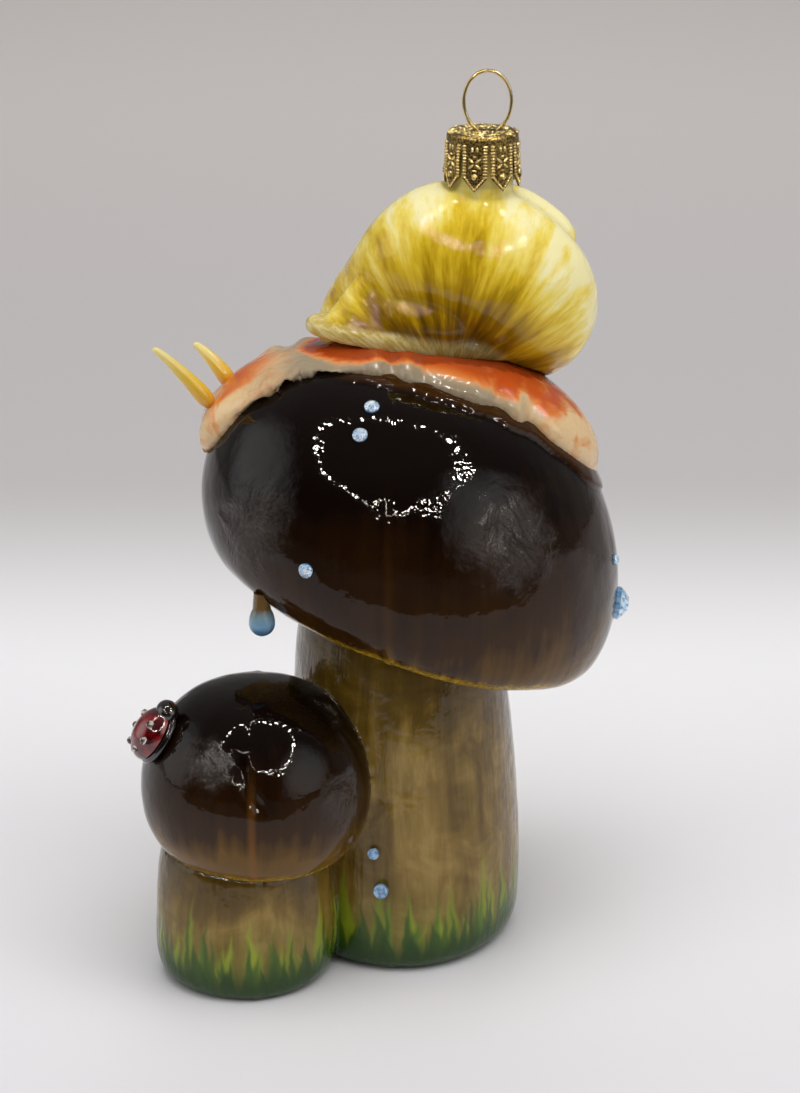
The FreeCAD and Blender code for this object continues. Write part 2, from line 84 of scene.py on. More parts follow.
def length_setting(name, millimetres, description):
    """A length that the sidebar shows, kept in metres."""
    return bpy.props.FloatProperty(
        name=name, description=description, subtype="DISTANCE", unit="LENGTH", min=0.0, precision=5,
        default=millimetres * MM,
    )


class ORNAMENT_PG_glass(bpy.types.PropertyGroup):
    """Sizes of the blown glass surface."""

    large_face: length_setting("Large faces", 0.7, "Face size of the large cap and stem")
    small_face: length_setting("Small faces", 0.5, "Face size of the snail and the small mushroom")
    wave_depth: length_setting("Wave depth", 0.55, "How far the hot glass waves in and out")
    wave_size: length_setting("Wave size", 13.0, "Distance between two waves of the glass")
    seam_height: length_setting("Seam height", 0.22, "Height of the ridge that the two mould halves leave")
    seam_width: length_setting("Seam width", 0.6, "Half width of that ridge")
    bond_depth: length_setting("Bond depth", 0.9, "How far a form runs on into the one that it grows out of")
    ledge_height: length_setting("Ledge height", 0.7, "Step that the snail's foot leaves on the large cap")
    skirt_wave: length_setting("Skirt wave", 1.6, "Depth of the folds along the snail's skirt")
    lip_radius: length_setting("Lip radius", 1.6, "Half thickness of the rolled lip at the shell's mouth")


class ORNAMENT_PG_paint(bpy.types.PropertyGroup):
    """Colours of the lacquers and metals."""

    cap_dark: colour_setting("Cap, dark", "#0d0604", "Brown lacquer where it is thickest")
    cap_brown: colour_setting("Cap, brown", "#352008", "Brown lacquer half way down the cap")
    cap_amber: colour_setting("Cap, amber", "#674a18", "Brown lacquer where it runs thin at the rim")
    stem_pale: colour_setting("Stem, pale", "#9a8146", "Beige ground of the stems")
    stem_streak: colour_setting("Stem, streak", "#604a16", "Olive brown brush streaks on the stems")
    grass_dark: colour_setting("Grass, dark", "#28450f", "Shaded blades at the foot")
    grass_light: colour_setting("Grass, light", "#8f9c22", "Sunlit blades at the foot")
    skin_cream: colour_setting("Snail, cream", "#ddb988", "Cream of the snail's flank")
    skin_grey: colour_setting("Snail, grey", "#93876f", "Grey beige of the skirt")
    skin_rust: colour_setting("Snail, rust", "#c2501c", "Rust orange beside the shell")
    shell_pale: colour_setting("Shell, pale", "#faf0b4", "Pale lemon on the crown of the shell")
    shell_yellow: colour_setting("Shell, yellow", "#dfbc2c", "Yellow of the shell's side")
    shell_olive: colour_setting("Shell, olive", "#5a4005", "Olive brown where the streaks run together")
    brass_high: colour_setting("Brass, rubbed", "#f2dfa6", "High relief of the crown cap")
    brass_low: colour_setting("Brass, patina", "#a08a52", "Recesses of the crown cap")


# Working on meshes


def only(*objects):
    """Leaves these objects selected, the first one active."""
    bpy.ops.object.select_all(action="DESELECT")
    for obj in objects:
        obj.select_set(True)
    bpy.context.view_layer.objects.active = objects[0]


def apply_modifier(obj, kind, **settings):
    """Adds one modifier with its settings and applies it."""
    only(obj)
    modifier = obj.modifiers.new(kind.title(), kind)
    for key, value in settings.items():
        setattr(modifier, key, value)
    bpy.ops.object.modifier_apply(modifier=modifier.name)


def node_copy(node, name):
    """A merged copy of a CAD node under a new name, with nothing of its old finish."""
    obj = bpy.data.objects.new(name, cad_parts[node].data.copy())
    bpy.context.scene.collection.objects.link(obj)
    obj.data.materials.clear()
    only(obj)
    bpy.ops.object.mode_set(mode="EDIT")
    bpy.ops.mesh.select_all(action="SELECT")
    bpy.ops.mesh.remove_doubles(threshold=0.002 * MM)
    bpy.ops.mesh.customdata_custom_splitnormals_clear()
    bpy.ops.object.mode_set(mode="OBJECT")
    return obj


def column(obj, field):
    """One field of all vertices, such as co or normal, as rows of three."""
    values = np.empty(len(obj.data.vertices) * 3, dtype=np.float32)
    obj.data.vertices.foreach_get(field, values)
    return values.reshape(-1, 3).astype(float)


def step(low, high, values):
    """A smooth step from 0 at low to 1 at high."""
    share = np.clip((values - low) / (high - low), 0.0, 1.0)
    return share * share * (3 - 2 * share)


def raise_by(obj, weights, height, direction="NORMAL"):
    """Moves the surface along its normals, or along an axis, by a height times a weight for each vertex."""
    group = weight_group(obj, weights)
    apply_modifier(obj, "DISPLACE", strength=height, mid_level=0.0, vertex_group=group, direction=direction)
    obj.vertex_groups.clear()


def soften(obj, weights, rounds):
    """Smooths the surface as far as its weights allow."""
    apply_modifier(obj, "SMOOTH", factor=0.5, iterations=rounds, vertex_group=weight_group(obj, weights))
    obj.vertex_groups.clear()


def weight_group(obj, weights):
    """A vertex group that holds a weight from 0 to 1 for each vertex."""
    group = obj.vertex_groups.new(name="share")
    levels = np.round(np.clip(weights, 0.0, 1.0) * 1000).astype(int)
    for level in np.unique(levels[levels > 0]):
        group.add(np.flatnonzero(levels == level).tolist(), float(level) / 1000, "REPLACE")
    return group.name


def wave(obj, depth, size, weights):
    """Gives the surface the slow waves of hand-blown glass, as far as its weights allow."""
    clouds = bpy.data.textures.new(obj.name + "_waves", "CLOUDS")
    clouds.noise_scale = size
    clouds.noise_depth = 2
    apply_modifier(
        obj, "DISPLACE", strength=depth, mid_level=0.5, texture=clouds, texture_coords="LOCAL",
        vertex_group=weight_group(obj, weights),
    )
    obj.vertex_groups.clear()


def paint_crease_shade(obj, reach, rounds=6):
    """Writes how deep each vertex lies in a crease, from 0 to 1 at a reach, for painted shade that darkens the
    creases.
    The depth is how far a vertex lies below the mean of its neighbours, evened out over a few rounds."""
    points, normals = column(obj, "co"), column(obj, "normal")
    ends = np.empty(len(obj.data.edges) * 2, dtype=np.int32)
    obj.data.edges.foreach_get("vertices", ends)
    ends = ends.reshape(-1, 2)
    count = np.bincount(ends.ravel(), minlength=len(points))[:, None]

    def neighbours_mean(values):
        total = np.zeros_like(values)
        np.add.at(total, ends[:, 0], values[ends[:, 1]])
        np.add.at(total, ends[:, 1], values[ends[:, 0]])
        return total / count

    depth = ((neighbours_mean(points) - points) * normals).sum(axis=1, keepdims=True)
    for _ in range(rounds):
        depth = neighbours_mean(depth)
    write_share(obj, "crease_shade", np.clip(depth[:, 0] / reach, 0.0, 1.0))


def tree_of(*nodes):
    """A search tree over the meshes of some CAD nodes or finished pieces."""
    points, faces = [], []
    for node in nodes:
        mesh = (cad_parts[node] if isinstance(node, str) else node).data
        start = len(points)
        points.extend(vertex.co.copy() for vertex in mesh.vertices)
        faces.extend([start + corner for corner in polygon.vertices] for polygon in mesh.polygons)
    return BVHTree.FromPolygons(points, faces)


def distance_to(points, nodes, reach):
    """Each point's distance to some CAD nodes or pieces, up to a reach."""
    tree = tree_of(*nodes)
    distances = np.full(len(points), reach)
    for index, point in enumerate(points):
        found = tree.find_nearest(Vector(point), reach)
        if found[0] is not None:
            distances[index] = found[3]
    return distances


def grow_into(obj, nodes, depth):
    """Runs the faces that meet a neighbour on into it, so that the two forms join like one skin of glass."""
    tree = tree_of(*nodes)
    touch = 0.35 * MM
    for vertex in obj.data.vertices:
        spot, normal, _, distance = tree.find_nearest(vertex.co, touch)
        if spot is not None:
            vertex.co = vertex.co - normal * (depth * (1 - 0.5 * distance / touch))
    obj.data.update()


def keep_inside(obj):
    """Holds the surface within the box of the solids, so that the waves don't make the ornament larger."""
    points = np.clip(column(obj, "co"), cad_box[0], cad_box[1])
    obj.data.vertices.foreach_set("co", points.ravel())
    obj.data.update()


def write_share(obj, name, values):
    """Keeps one value for each vertex as an attribute that a material reads."""
    attribute = obj.data.attributes.new(name, "FLOAT", "POINT")
    attribute.data.foreach_set("value", np.asarray(values, dtype=np.float32))


def glass_form(obj, face, neighbours, settings, plain=None):
    """Makes one even skin of small faces, grown into its neighbours and waved like blown glass. The waves fade
    out over 2 mm above the floor and below a plain height, over which the faces keep their shape."""
    apply_modifier(obj, "REMESH", mode="VOXEL", voxel_size=face, adaptivity=0.0, use_smooth_shade=True)
    apply_modifier(obj, "SMOOTH", factor=0.5, iterations=3)
    if neighbours:
        grow_into(obj, neighbours, settings.bond_depth)
    heights = column(obj, "co")[:, 2]
    fade = 2 * MM
    weights = step(0.0, fade, heights)
    if plain is not None:
        weights *= 1 - step(plain - fade, plain, heights)
    wave(obj, settings.wave_depth, settings.wave_size, weights)
    keep_inside(obj)
    return obj


def mould_seam(obj, across, settings):
    """The fine ridge down the front and back where the halves of the mould met."""
    points = column(obj, "co")
    weights = np.exp(-((points[:, 0] - across) / settings.seam_width) ** 2)
    facing = np.abs(column(obj, "normal")[:, 1])
    raise_by(obj, weights * step(0.15, 0.5, facing), settings.seam_height)
    keep_inside(obj)


def smooth_copy(node, name, angle=50):
    """A CAD node's merged copy, shaded smooth where it is round."""
    obj = node_copy(node, name)
    only(obj)
    bpy.ops.object.shade_smooth_by_angle(angle=math.radians(angle))
    return obj


def base_of(node):
    """The middle of a node's underside, and its height, in millimetres."""
    low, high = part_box(node)
    return [(low[0] + high[0]) / 2 / MM, (low[1] + high[1]) / 2 / MM, low[2] / MM], (high[2] - low[2]) / MM


def dress(obj, body, slot, nodes, *materials):
    """Gives a finished piece its materials and its body, and hides the CAD nodes that it stands for. Its slot
    is not used.
    """
    obj.data.materials.clear()
    for material in materials:
        obj.data.materials.append(material)
    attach(obj, body)
    if nodes:
        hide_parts(*nodes)
    return obj


def joined(name, objects):
    """Several objects as one under a name."""
    only(*objects)
    bpy.ops.object.join()
    objects[0].name = name
    objects[0].data.name = name
    return objects[0]


def copies(master, placements, name):
    """One mesh for many placed copies of a master, which is used up."""
    made = []
    for placement in placements:
        obj = bpy.data.objects.new(name, master.data.copy())
        obj.data.transform(placement)
        bpy.context.scene.collection.objects.link(obj)
        made.append(obj)
    bpy.data.objects.remove(master)
    return joined(name, made)


# Materials


# What every node of a kind has in this file: range maps step smoothly, and mixes are of colours
USUAL = {"MapRange": {"interpolation_type": "SMOOTHSTEP"}, "Mix": {"data_type": "RGBA", "output": 2}}


def add(tree, kind, inputs=(), stops=(), **settings):
    """Adds one node and gives its first output, the one that output names or numbers, or all if it is None.
    Inputs are the first sockets' values, or a table of them by number. A setting with a capital letter is the
    socket of that name, with underscores for spaces, and any other is a property. A value may be another
    node's output. Stops are the positions and colours of a ramp."""
    settings = {"output": 0, **USUAL.get(kind, {}), **settings}
    output = settings.pop("output")
    node = tree.nodes.new("ShaderNode" + kind)
    sockets = dict(inputs if isinstance(inputs, dict) else enumerate(inputs))
    for name, value in settings.items():
        if name[0].isupper():
            sockets[name.replace("_", " ")] = value
        else:
            setattr(node, name, value)
    for key, value in sockets.items():
        if isinstance(value, bpy.types.NodeSocket):
            tree.links.new(value, node.inputs[key])
        else:
            node.inputs[key].default_value = value
    if stops:
        elements = node.color_ramp.elements
        elements.remove(elements[1])
        elements[0].position, elements[0].color = stops[0]
        for position, colour in stops[1:]:
            elements.new(position).color = colour
    return node.outputs if output is None else node.outputs[output]


def start_material(name):
    """An empty material and its node tree."""
    material = bpy.data.materials.new(name)
    material.use_nodes = True
    material.node_tree.nodes.clear()
    return material, material.node_tree


def turning(tree, value, low, high, first, last):
    """A colour that turns from first to last as a value goes from low to high."""
    return add(tree, "Mix", {0: add(tree, "MapRange", [value, low, high]), 6: first, 7: last})


def glaze(tree, colour, tone, share, strength):
    """Lays a tone over a colour, as far as a share times a strength."""
    share = add(tree, "Math", [share, strength], operation="MULTIPLY")
    return add(tree, "Mix", {0: share, 6: colour, 7: tone})


def uneven(tree, place, scale, depth, detail=2.0, **under):
    """The low waves of a brushed or blown surface, with a number of features to the millimetre and a depth in
    millimetres. A finer relief may lie under them as Normal."""
    height = add(tree, "TexNoise", Vector=place, Scale=scale, Detail=detail)
    return add(tree, "Bump", Height=height, Distance=depth * MM, **under)


def surface(tree, **sockets):
    """Ends a material: its shader with these sockets, joined to the output."""
    add(tree, "OutputMaterial", [add(tree, "BsdfPrincipled", **sockets)], output=None)


def millimetres(tree, centre):
    """The object's own coordinates in millimetres from a centre, with the parts of that vector."""
    coordinates = add(tree, "TexCoord", output="Object")
    place = add(
        tree, "Mapping", Vector=coordinates, Location=[-part for part in centre], Scale=(1000, 1000, 1000)
    )
    return place, add(tree, "SeparateXYZ", [place], output=None)


def upright(tree, place, radius, stretch):
    """Coordinates that run round a standing form and change slowly with height, for brush streaks."""
    flat = add(tree, "VectorMath", [place, (1, 1, 0)], operation="MULTIPLY")
    unit = add(tree, "VectorMath", [flat], operation="NORMALIZE")
    ring = add(tree, "VectorMath", [unit, (radius, radius, 0)], operation="MULTIPLY")
    rise = add(tree, "VectorMath", [place, (0, 0, stretch)], operation="MULTIPLY")
    return add(tree, "VectorMath", [ring, rise], operation="ADD")


def cap_lacquer(name, centre, radius, height, seam, seam_share, thin, patches, paint):
    """Brown transparent lacquer over mirrored glass: black where it is thick, amber where it runs thin at the
    rim, along the mould's seam and in brush streaks, yellow on the pores below. The mould leaves a few dull
    pitted patches."""
    material, tree = start_material(name)
    place, axes = millimetres(tree, centre)
    streaks = add(
        tree, "TexNoise", Vector=upright(tree, place, radius, 0.1), Scale=0.42, Detail=4.0, Roughness=0.6
    )
    clouds = add(tree, "TexNoise", Vector=place, Scale=0.09)
    level = add(tree, "Math", [axes["Z"], height], operation="DIVIDE")
    level = add(tree, "Math", [streaks, 0.28, level], operation="MULTIPLY_ADD")
    level = add(
        tree, "Math", [clouds, 0.38, add(tree, "Math", [level, thin], operation="SUBTRACT")],
        operation="MULTIPLY_ADD",
    )
    colour = add(
        tree, "ValToRGB", [level],
        stops=[
            (0.34, tuple(paint.cap_amber)), (0.5, tuple(paint.cap_brown)), (0.72, linear("#231306")),
            (0.96, tuple(paint.cap_dark)),
        ],
    )
    off_seam = add(
        tree, "Math", [add(tree, "Math", [axes["X"], seam], operation="SUBTRACT")], operation="ABSOLUTE"
    )
    near_seam = add(tree, "MapRange", [off_seam, 0.1, 1.1, seam_share, 0.0])
    low_share = add(tree, "MapRange", [axes["Z"], height * 0.1, height * 0.85, 1.0, 0.0])
    colour = glaze(tree, colour, linear("#7d4f16"), near_seam, low_share)
    down = add(tree, "SeparateXYZ", [add(tree, "TexCoord", output="Normal")], output=2)
    pores = add(
        tree, "MapRange",
        [add(tree, "Math", [streaks, 0.25, down], operation="MULTIPLY_ADD"), -0.66, -0.44, 1.0, 0.0],
    )
    pitted = add(tree, "TexNoise", Vector=place, Scale=1.6, Roughness=0.7)
    pore_tone = turning(tree, pitted, 0.4, 0.6, linear("#7d6012"), linear("#b48f24"))
    colour = add(tree, "Mix", {0: pores, 6: colour, 7: pore_tone})
    grain = add(tree, "TexNoise", Vector=place, Scale=1.5, Detail=3.0, Roughness=0.7)
    ragged = add(
        tree, "Math", [add(tree, "TexNoise", Vector=place, Scale=0.35, Detail=3.0), 8.0, -4.0],
        operation="MULTIPLY_ADD",
    )
    patch = None
    for spot, size in patches:
        away = add(
            tree, "VectorMath", [place, [a - b for a, b in zip(spot, centre)]], operation="DISTANCE",
            output="Value",
        )
        share = add(
            tree, "MapRange",
            [add(tree, "Math", [away, ragged], operation="ADD"), size * 0.25, size * 1.25, 1.0, 0.0],
        )
        patch = share if patch is None else add(tree, "Math", [patch, share], operation="MAXIMUM")
    grey = add(
        tree, "Math", [patch, add(tree, "MapRange", [grain, 0.3, 0.7, 0.25, 0.8])], operation="MULTIPLY"
    )
    colour = add(tree, "Mix", {0: grey, 6: colour, 7: linear("#3a332f")})
    ledge = add(tree, "Attribute", attribute_name="ledge", output="Fac")
    colour = glaze(tree, colour, linear("#43260b"), ledge, 0.6)
    peel = uneven(tree, place, 0.5, 0.06)
    pits = add(tree, "Bump", Height=grain, Distance=0.14 * MM, Strength=patch, Normal=peel)
    folds = add(
        tree, "Bump", Height=add(tree, "TexNoise", Vector=place, Scale=0.13, Detail=3.0, Distortion=0.8),
        Distance=1.8 * MM, Strength=patch, Normal=pits,
    )
    surface(
        tree, Base_Color=colour, Normal=folds, Roughness=add(tree, "MapRange", [patch, 0.0, 1.0, 0.03, 0.32]),
        IOR=1.45, Specular_IOR_Level=0.3,
    )
    return material


def blade_share(tree, around, height, pitch, tall, seed, fatness):
    """Painted blades of grass: one leaning, tapering stroke in each pitch round the foot."""
    across = add(tree, "Math", [around, pitch], operation="DIVIDE")
    cell = add(tree, "Math", [across], operation="FLOOR")
    local = add(tree, "Math", [add(tree, "Math", [across], operation="FRACT"), 0.5], operation="SUBTRACT")
    chance = add(
        tree, "TexWhiteNoise", W=add(tree, "Math", [cell, seed], operation="ADD"), noise_dimensions="1D",
        output=None,
    )
    parts = add(tree, "SeparateColor", [chance["Color"]], output=None)
    reach = add(tree, "Math", [parts[0], tall * 0.6, tall * 0.5], operation="MULTIPLY_ADD")
    share = add(tree, "Math", [height, reach], operation="DIVIDE")
    lean = add(
        tree, "Math", [add(tree, "Math", [parts[1], 0.5], operation="SUBTRACT"), 0.9], operation="MULTIPLY"
    )
    middle = add(
        tree, "Math", [add(tree, "Math", [share, share], operation="MULTIPLY"), lean], operation="MULTIPLY"
    )
    off = add(tree, "Math", [add(tree, "Math", [local, middle], operation="SUBTRACT")], operation="ABSOLUTE")
    taper = add(
        tree, "Math", [add(tree, "Math", [1.0, share], operation="SUBTRACT"), fatness], operation="MULTIPLY"
    )
    inside = add(tree, "Math", [taper, off], operation="SUBTRACT")
    return add(tree, "MapRange", [inside, -0.06, 0.14]), parts[2]


def stem_lacquer(name, centre, radius, height, grass, seed, paint):
    """Beige lacquer brushed on in upright olive and brown streaks, darkened towards the top as painted shade
    under the cap, with painted grass round the foot. The grass height is in millimetres, and each row of
    blades has its pitch, height, seed, fatness and colour."""
    material, tree = start_material(name)
    place, axes = millimetres(tree, centre)
    broad = add(
        tree, "TexNoise", Vector=upright(tree, place, radius, 0.16), Scale=0.17, Detail=3.0, Roughness=0.55,
        Distortion=1.0,
    )
    fine = add(
        tree, "TexNoise", Vector=upright(tree, place, radius, 0.12), Scale=0.7, Detail=3.0, Roughness=0.6,
        Distortion=0.8,
    )
    blots = add(tree, "TexNoise", Vector=place, Scale=0.1, Detail=3.0, Roughness=0.6, Distortion=1.2)
    tone = add(
        tree, "Math", [fine, 0.14, add(tree, "Math", [broad, 0.42], operation="MULTIPLY")],
        operation="MULTIPLY_ADD",
    )
    tone = add(
        tree, "Math", [blots, 0.44, add(tree, "Math", [tone, 0.02], operation="ADD")],
        operation="MULTIPLY_ADD",
    )
    # Painted shade: the upper half of the stem darkens towards the top, under the cap
    tone = add(
        tree, "Math", [tone, add(tree, "MapRange", [axes["Z"], height * 0.5, height, 0.0, -0.2])],
        operation="ADD",
    )
    colour = add(
        tree, "ValToRGB", [tone],
        stops=[
            (0.26, linear("#4a3810")), (0.42, tuple(paint.stem_streak)), (0.53, linear("#7d6429")),
            (0.66, tuple(paint.stem_pale)),
        ],
    )
    angle = add(
        tree, "Math", [axes["X"], add(tree, "Math", [axes["Y"], -1.0], operation="MULTIPLY")],
        operation="ARCTAN2",
    )
    around = add(tree, "Math", [angle, radius], operation="MULTIPLY")
    around = add(
        tree, "Math", [add(tree, "TexNoise", Vector=place, Scale=0.25, Detail=1.0), 1.6, around],
        operation="MULTIPLY_ADD",
    )
    wash = add(
        tree, "MapRange",
        [add(tree, "Math", [broad, -9.0, axes["Z"]], operation="MULTIPLY_ADD"), -4.0, grass, 0.85, 0.0],
    )
    colour = add(tree, "Mix", {0: wash, 6: colour, 7: linear("#686a1a")})
    for pitch, tall, offset, fatness, shade in (
        (6.5, grass * 1.5, 1.0, 0.44, linear("#858f1c")),
        (5.2, grass * 1.3, 7.0, 0.46, tuple(paint.grass_light)),
        (4.4, grass * 1.1, 13.0, 0.44, linear("#3f6a16")),
        (3.9, grass * 1.3, 29.0, 0.36, tuple(paint.grass_dark)),
        (5.0, grass * 0.95, 41.0, 0.6, tuple(paint.grass_dark)),
        (3.3, grass, 67.0, 0.48, linear("#24480f")),
    ):
        share, chance = blade_share(tree, around, axes["Z"], pitch, tall, seed + offset, fatness)
        tint = glaze(tree, shade, linear("#5c7a1a"), chance, 0.4)
        colour = glaze(tree, colour, tint, share, 0.85)
    sole = add(
        tree, "MapRange",
        [add(tree, "Math", [broad, 7.0, axes["Z"]], operation="MULTIPLY_ADD"), 6.0, 13.0, 0.9, 0.0],
    )
    colour = add(tree, "Mix", {0: sole, 6: colour, 7: linear("#1e3a0c")})
    brush = add(tree, "Bump", Height=fine, Distance=0.1 * MM)
    waves = uneven(tree, place, 0.35, 0.22, Normal=brush)
    surface(tree, Base_Color=colour, Normal=waves, Roughness=0.12, IOR=1.5, Specular_IOR_Level=0.4)
    return material


def snail_lacquer(name, paint):
    """Cream lacquer shaded to rust beside the shell and along the back, and to grey beige on the skirt, which
    darkens towards the cap, partly as painted shade under the body. Each vertex holds its distance in
    millimetres to the shell as near and to the cap as rise."""
    material, tree = start_material(name)
    place, axes = millimetres(tree, (0, 0, 0))
    rise = add(tree, "Attribute", attribute_name="rise", output="Fac")
    near = add(tree, "Attribute", attribute_name="near", output="Fac")
    cloud = add(tree, "TexNoise", Vector=place, Scale=0.22, Detail=3.0, Roughness=0.6, Distortion=0.5)
    fine = add(tree, "TexNoise", Vector=place, Scale=1.1, Detail=3.0, Roughness=0.6)
    up = add(tree, "SeparateXYZ", [add(tree, "TexCoord", output="Normal")], output=2)
    spread = add(
        tree, "Math", [cloud, -3.6, add(tree, "Math", [fine, -0.8, near], operation="MULTIPLY_ADD")],
        operation="MULTIPLY_ADD",
    )
    band = add(tree, "MapRange", [spread, -0.2, 2.5, 1.0, 0.0])
    back = add(
        tree, "MapRange",
        [add(tree, "Math", [cloud, 0.7, up], operation="MULTIPLY_ADD"), 0.75, 1.25, 0.0, 0.8],
    )
    back = add(tree, "Math", [back, add(tree, "MapRange", [rise, 0.8, 3.0])], operation="MULTIPLY")
    share = add(tree, "Math", [band, back], operation="MAXIMUM")
    # Grey beige skirt paint that darkens towards the cap: the darkest grey next to the cap is painted shade
    # under the body
    skirt = add(
        tree, "Math", [cloud, 3.0, add(tree, "Math", [rise, 1.2], operation="SUBTRACT")],
        operation="MULTIPLY_ADD",
    )
    ground = add(
        tree, "ValToRGB", [add(tree, "Math", [skirt, 5.0], operation="DIVIDE")],
        stops=[
            (0.1, linear("#857b68")), (0.38, tuple(paint.skin_grey)), (0.62, linear("#b49f7d")),
            (0.9, tuple(paint.skin_cream)),
        ],
    )
    ends = add(
        tree, "Math",
        [
            add(tree, "MapRange", [axes["X"], -30.0, -14.0, 0.9, 0.1]),
            add(tree, "MapRange", [axes["X"], 12.0, 28.0, 0.0, 0.85]),
        ],
        operation="MAXIMUM",
    )
    peach = turning(tree, cloud, 0.45, 0.68, linear("#e9c795"), linear("#dd9350"))
    ground = add(tree, "Mix", {0: ends, 6: ground, 7: peach})
    colour = add(
        tree, "ValToRGB", [share],
        stops=[
            (0.0, linear("#e8b47a")), (0.45, linear("#d9813f")), (0.8, tuple(paint.skin_rust)),
            (1.0, linear("#9c3c12")),
        ],
    )
    colour = turning(tree, share, 0.02, 0.45, ground, colour)
    # Painted shade: the creases are darkened towards a grey brown
    crease_shade = add(tree, "Attribute", attribute_name="crease_shade", output="Fac")
    colour = glaze(tree, colour, linear("#5f4a36"), crease_shade, 0.7)
    skin = uneven(tree, place, 0.45, 0.3, detail=3.0)
    surface(tree, Base_Color=colour, Normal=skin, Roughness=0.05, IOR=1.5)
    return material


def shell_lacquer(name, hub, foot, height, neck, paint):
    """Yellow lacquer over mirrored glass, brushed from the foot of the shell outwards in a fan. It has painted
    shade in its creases, is beige on the rolled lip and plain yellow on the neck under the crown cap."""
    material, tree = start_material(name)
    place, axes = millimetres(tree, hub)
    flat = add(tree, "VectorMath", [place, (1, 0.35, 1)], operation="MULTIPLY")
    unit = add(tree, "VectorMath", [flat], operation="NORMALIZE")
    fan = add(tree, "VectorMath", [unit, (22, 22, 22)], operation="MULTIPLY")
    slow = add(tree, "VectorMath", [place, (0.08, 0.08, 0.08)], operation="MULTIPLY")
    lines = add(tree, "VectorMath", [fan, slow], operation="ADD")
    broad = add(tree, "TexNoise", Vector=lines, Scale=0.3, Detail=3.0, Roughness=0.55)
    fine = add(tree, "TexNoise", Vector=lines, Scale=1.0, Detail=3.0, Roughness=0.7)
    wide = add(tree, "VectorMath", [place, (1.25, 1, 1)], operation="MULTIPLY")
    reach = add(tree, "VectorMath", [wide], operation="LENGTH", output="Value")
    level = add(
        tree, "Math", [add(tree, "Math", [reach, foot], operation="SUBTRACT"), height], operation="DIVIDE"
    )
    level = add(
        tree, "Math", [level, add(tree, "MapRange", [axes["Y"], 7.0, 14.0, 0.0, 0.18])], operation="SUBTRACT"
    )
    level = add(
        tree, "Math", [broad, 1.05, add(tree, "Math", [level, 0.55], operation="SUBTRACT")],
        operation="MULTIPLY_ADD",
    )
    level = add(
        tree, "Math", [fine, 0.34, add(tree, "Math", [level, 0.17], operation="SUBTRACT")],
        operation="MULTIPLY_ADD",
    )
    colour = add(
        tree, "ValToRGB", [level],
        stops=[
            (0.12, tuple(paint.shell_olive)), (0.34, linear("#866208")), (0.52, linear("#b38f10")),
            (0.68, tuple(paint.shell_yellow)), (0.84, linear("#f3dc66")), (1.0, tuple(paint.shell_pale)),
        ],
    )
    # Painted shade: the creases are darkened towards an olive brown
    crease_shade = add(tree, "Attribute", attribute_name="crease_shade", output="Fac")
    colour = glaze(tree, colour, linear("#5e4508"), crease_shade, 0.8)
    off_neck = add(tree, "VectorMath", [place, neck], operation="SUBTRACT")
    flat = add(tree, "VectorMath", [off_neck, (1, 1, 0)], operation="MULTIPLY")
    away = add(tree, "VectorMath", [flat], operation="LENGTH", output="Value")
    bare = add(
        tree, "Math",
        [
            add(tree, "MapRange", [away, 5.8, 6.2, 1.0, 0.0]),
            add(tree, "MapRange", [axes["Z"], neck[2], neck[2] + 1.0]),
        ],
        operation="MULTIPLY",
    )
    colour = add(tree, "Mix", {0: bare, 6: colour, 7: linear("#d9c873")})
    lip = add(tree, "Attribute", attribute_name="lip", output="Fac")
    lip_tone = turning(tree, fine, 0.4, 0.6, linear("#b39c52"), linear("#d3c48c"))
    colour = glaze(tree, colour, lip_tone, lip, 0.85)
    brush = add(tree, "Bump", Height=fine, Distance=0.08 * MM)
    waves = uneven(tree, place, 0.3, 0.25, Normal=brush)
    surface(tree, Base_Color=colour, Normal=waves, Roughness=0.06, IOR=1.5, Specular_IOR_Level=0.35)
    return material


def tentacle_glass(name, base, tip):
    """Drawn yellow glass rod, browner where it is melted on and paler at its point."""
    material, tree = start_material(name)
    place, axes = millimetres(tree, base)
    level = add(tree, "Math", [axes["Z"], tip[2] - base[2]], operation="DIVIDE")
    level = add(
        tree, "Math", [add(tree, "TexNoise", Vector=place, Scale=0.5), 0.2, level], operation="MULTIPLY_ADD"
    )
    colour = add(
        tree, "ValToRGB", [level],
        stops=[
            (0.03, linear("#8a3c14")), (0.18, linear("#d39a2a")), (0.6, linear("#e2bb34")),
            (1.0, linear("#ead98c")),
        ],
    )
    surface(
        tree, Base_Color=colour, Normal=uneven(tree, place, 0.8, 0.08), Roughness=0.12, IOR=1.5,
        Coat_Weight=0.6, Coat_Roughness=0.04,
    )
    return material


def drop_glass(name, low, high):
    """Clear blue glass drop, amber where its neck melts into the brown rim."""
    material, tree = start_material(name)
    place, axes = millimetres(tree, (0, 0, 0))
    level = add(
        tree, "Math", [add(tree, "TexNoise", Vector=place, Scale=0.5), 1.2, axes["Z"]],
        operation="MULTIPLY_ADD",
    )
    colour = add(
        tree, "ValToRGB", [add(tree, "MapRange", [level, low, high])],
        stops=[
            (0.0, linear("#3c6c98")), (0.35, linear("#7fb2d6")), (0.6, linear("#8aa7b0")),
            (0.85, linear("#7a5a2a")),
        ],
    )
    surface(
        tree, Base_Color=colour, Normal=uneven(tree, place, 0.6, 0.1), Roughness=0.05, IOR=1.5,
        Transmission_Weight=0.35, Coat_Weight=0.5, Coat_Roughness=0.02,
    )
    return material


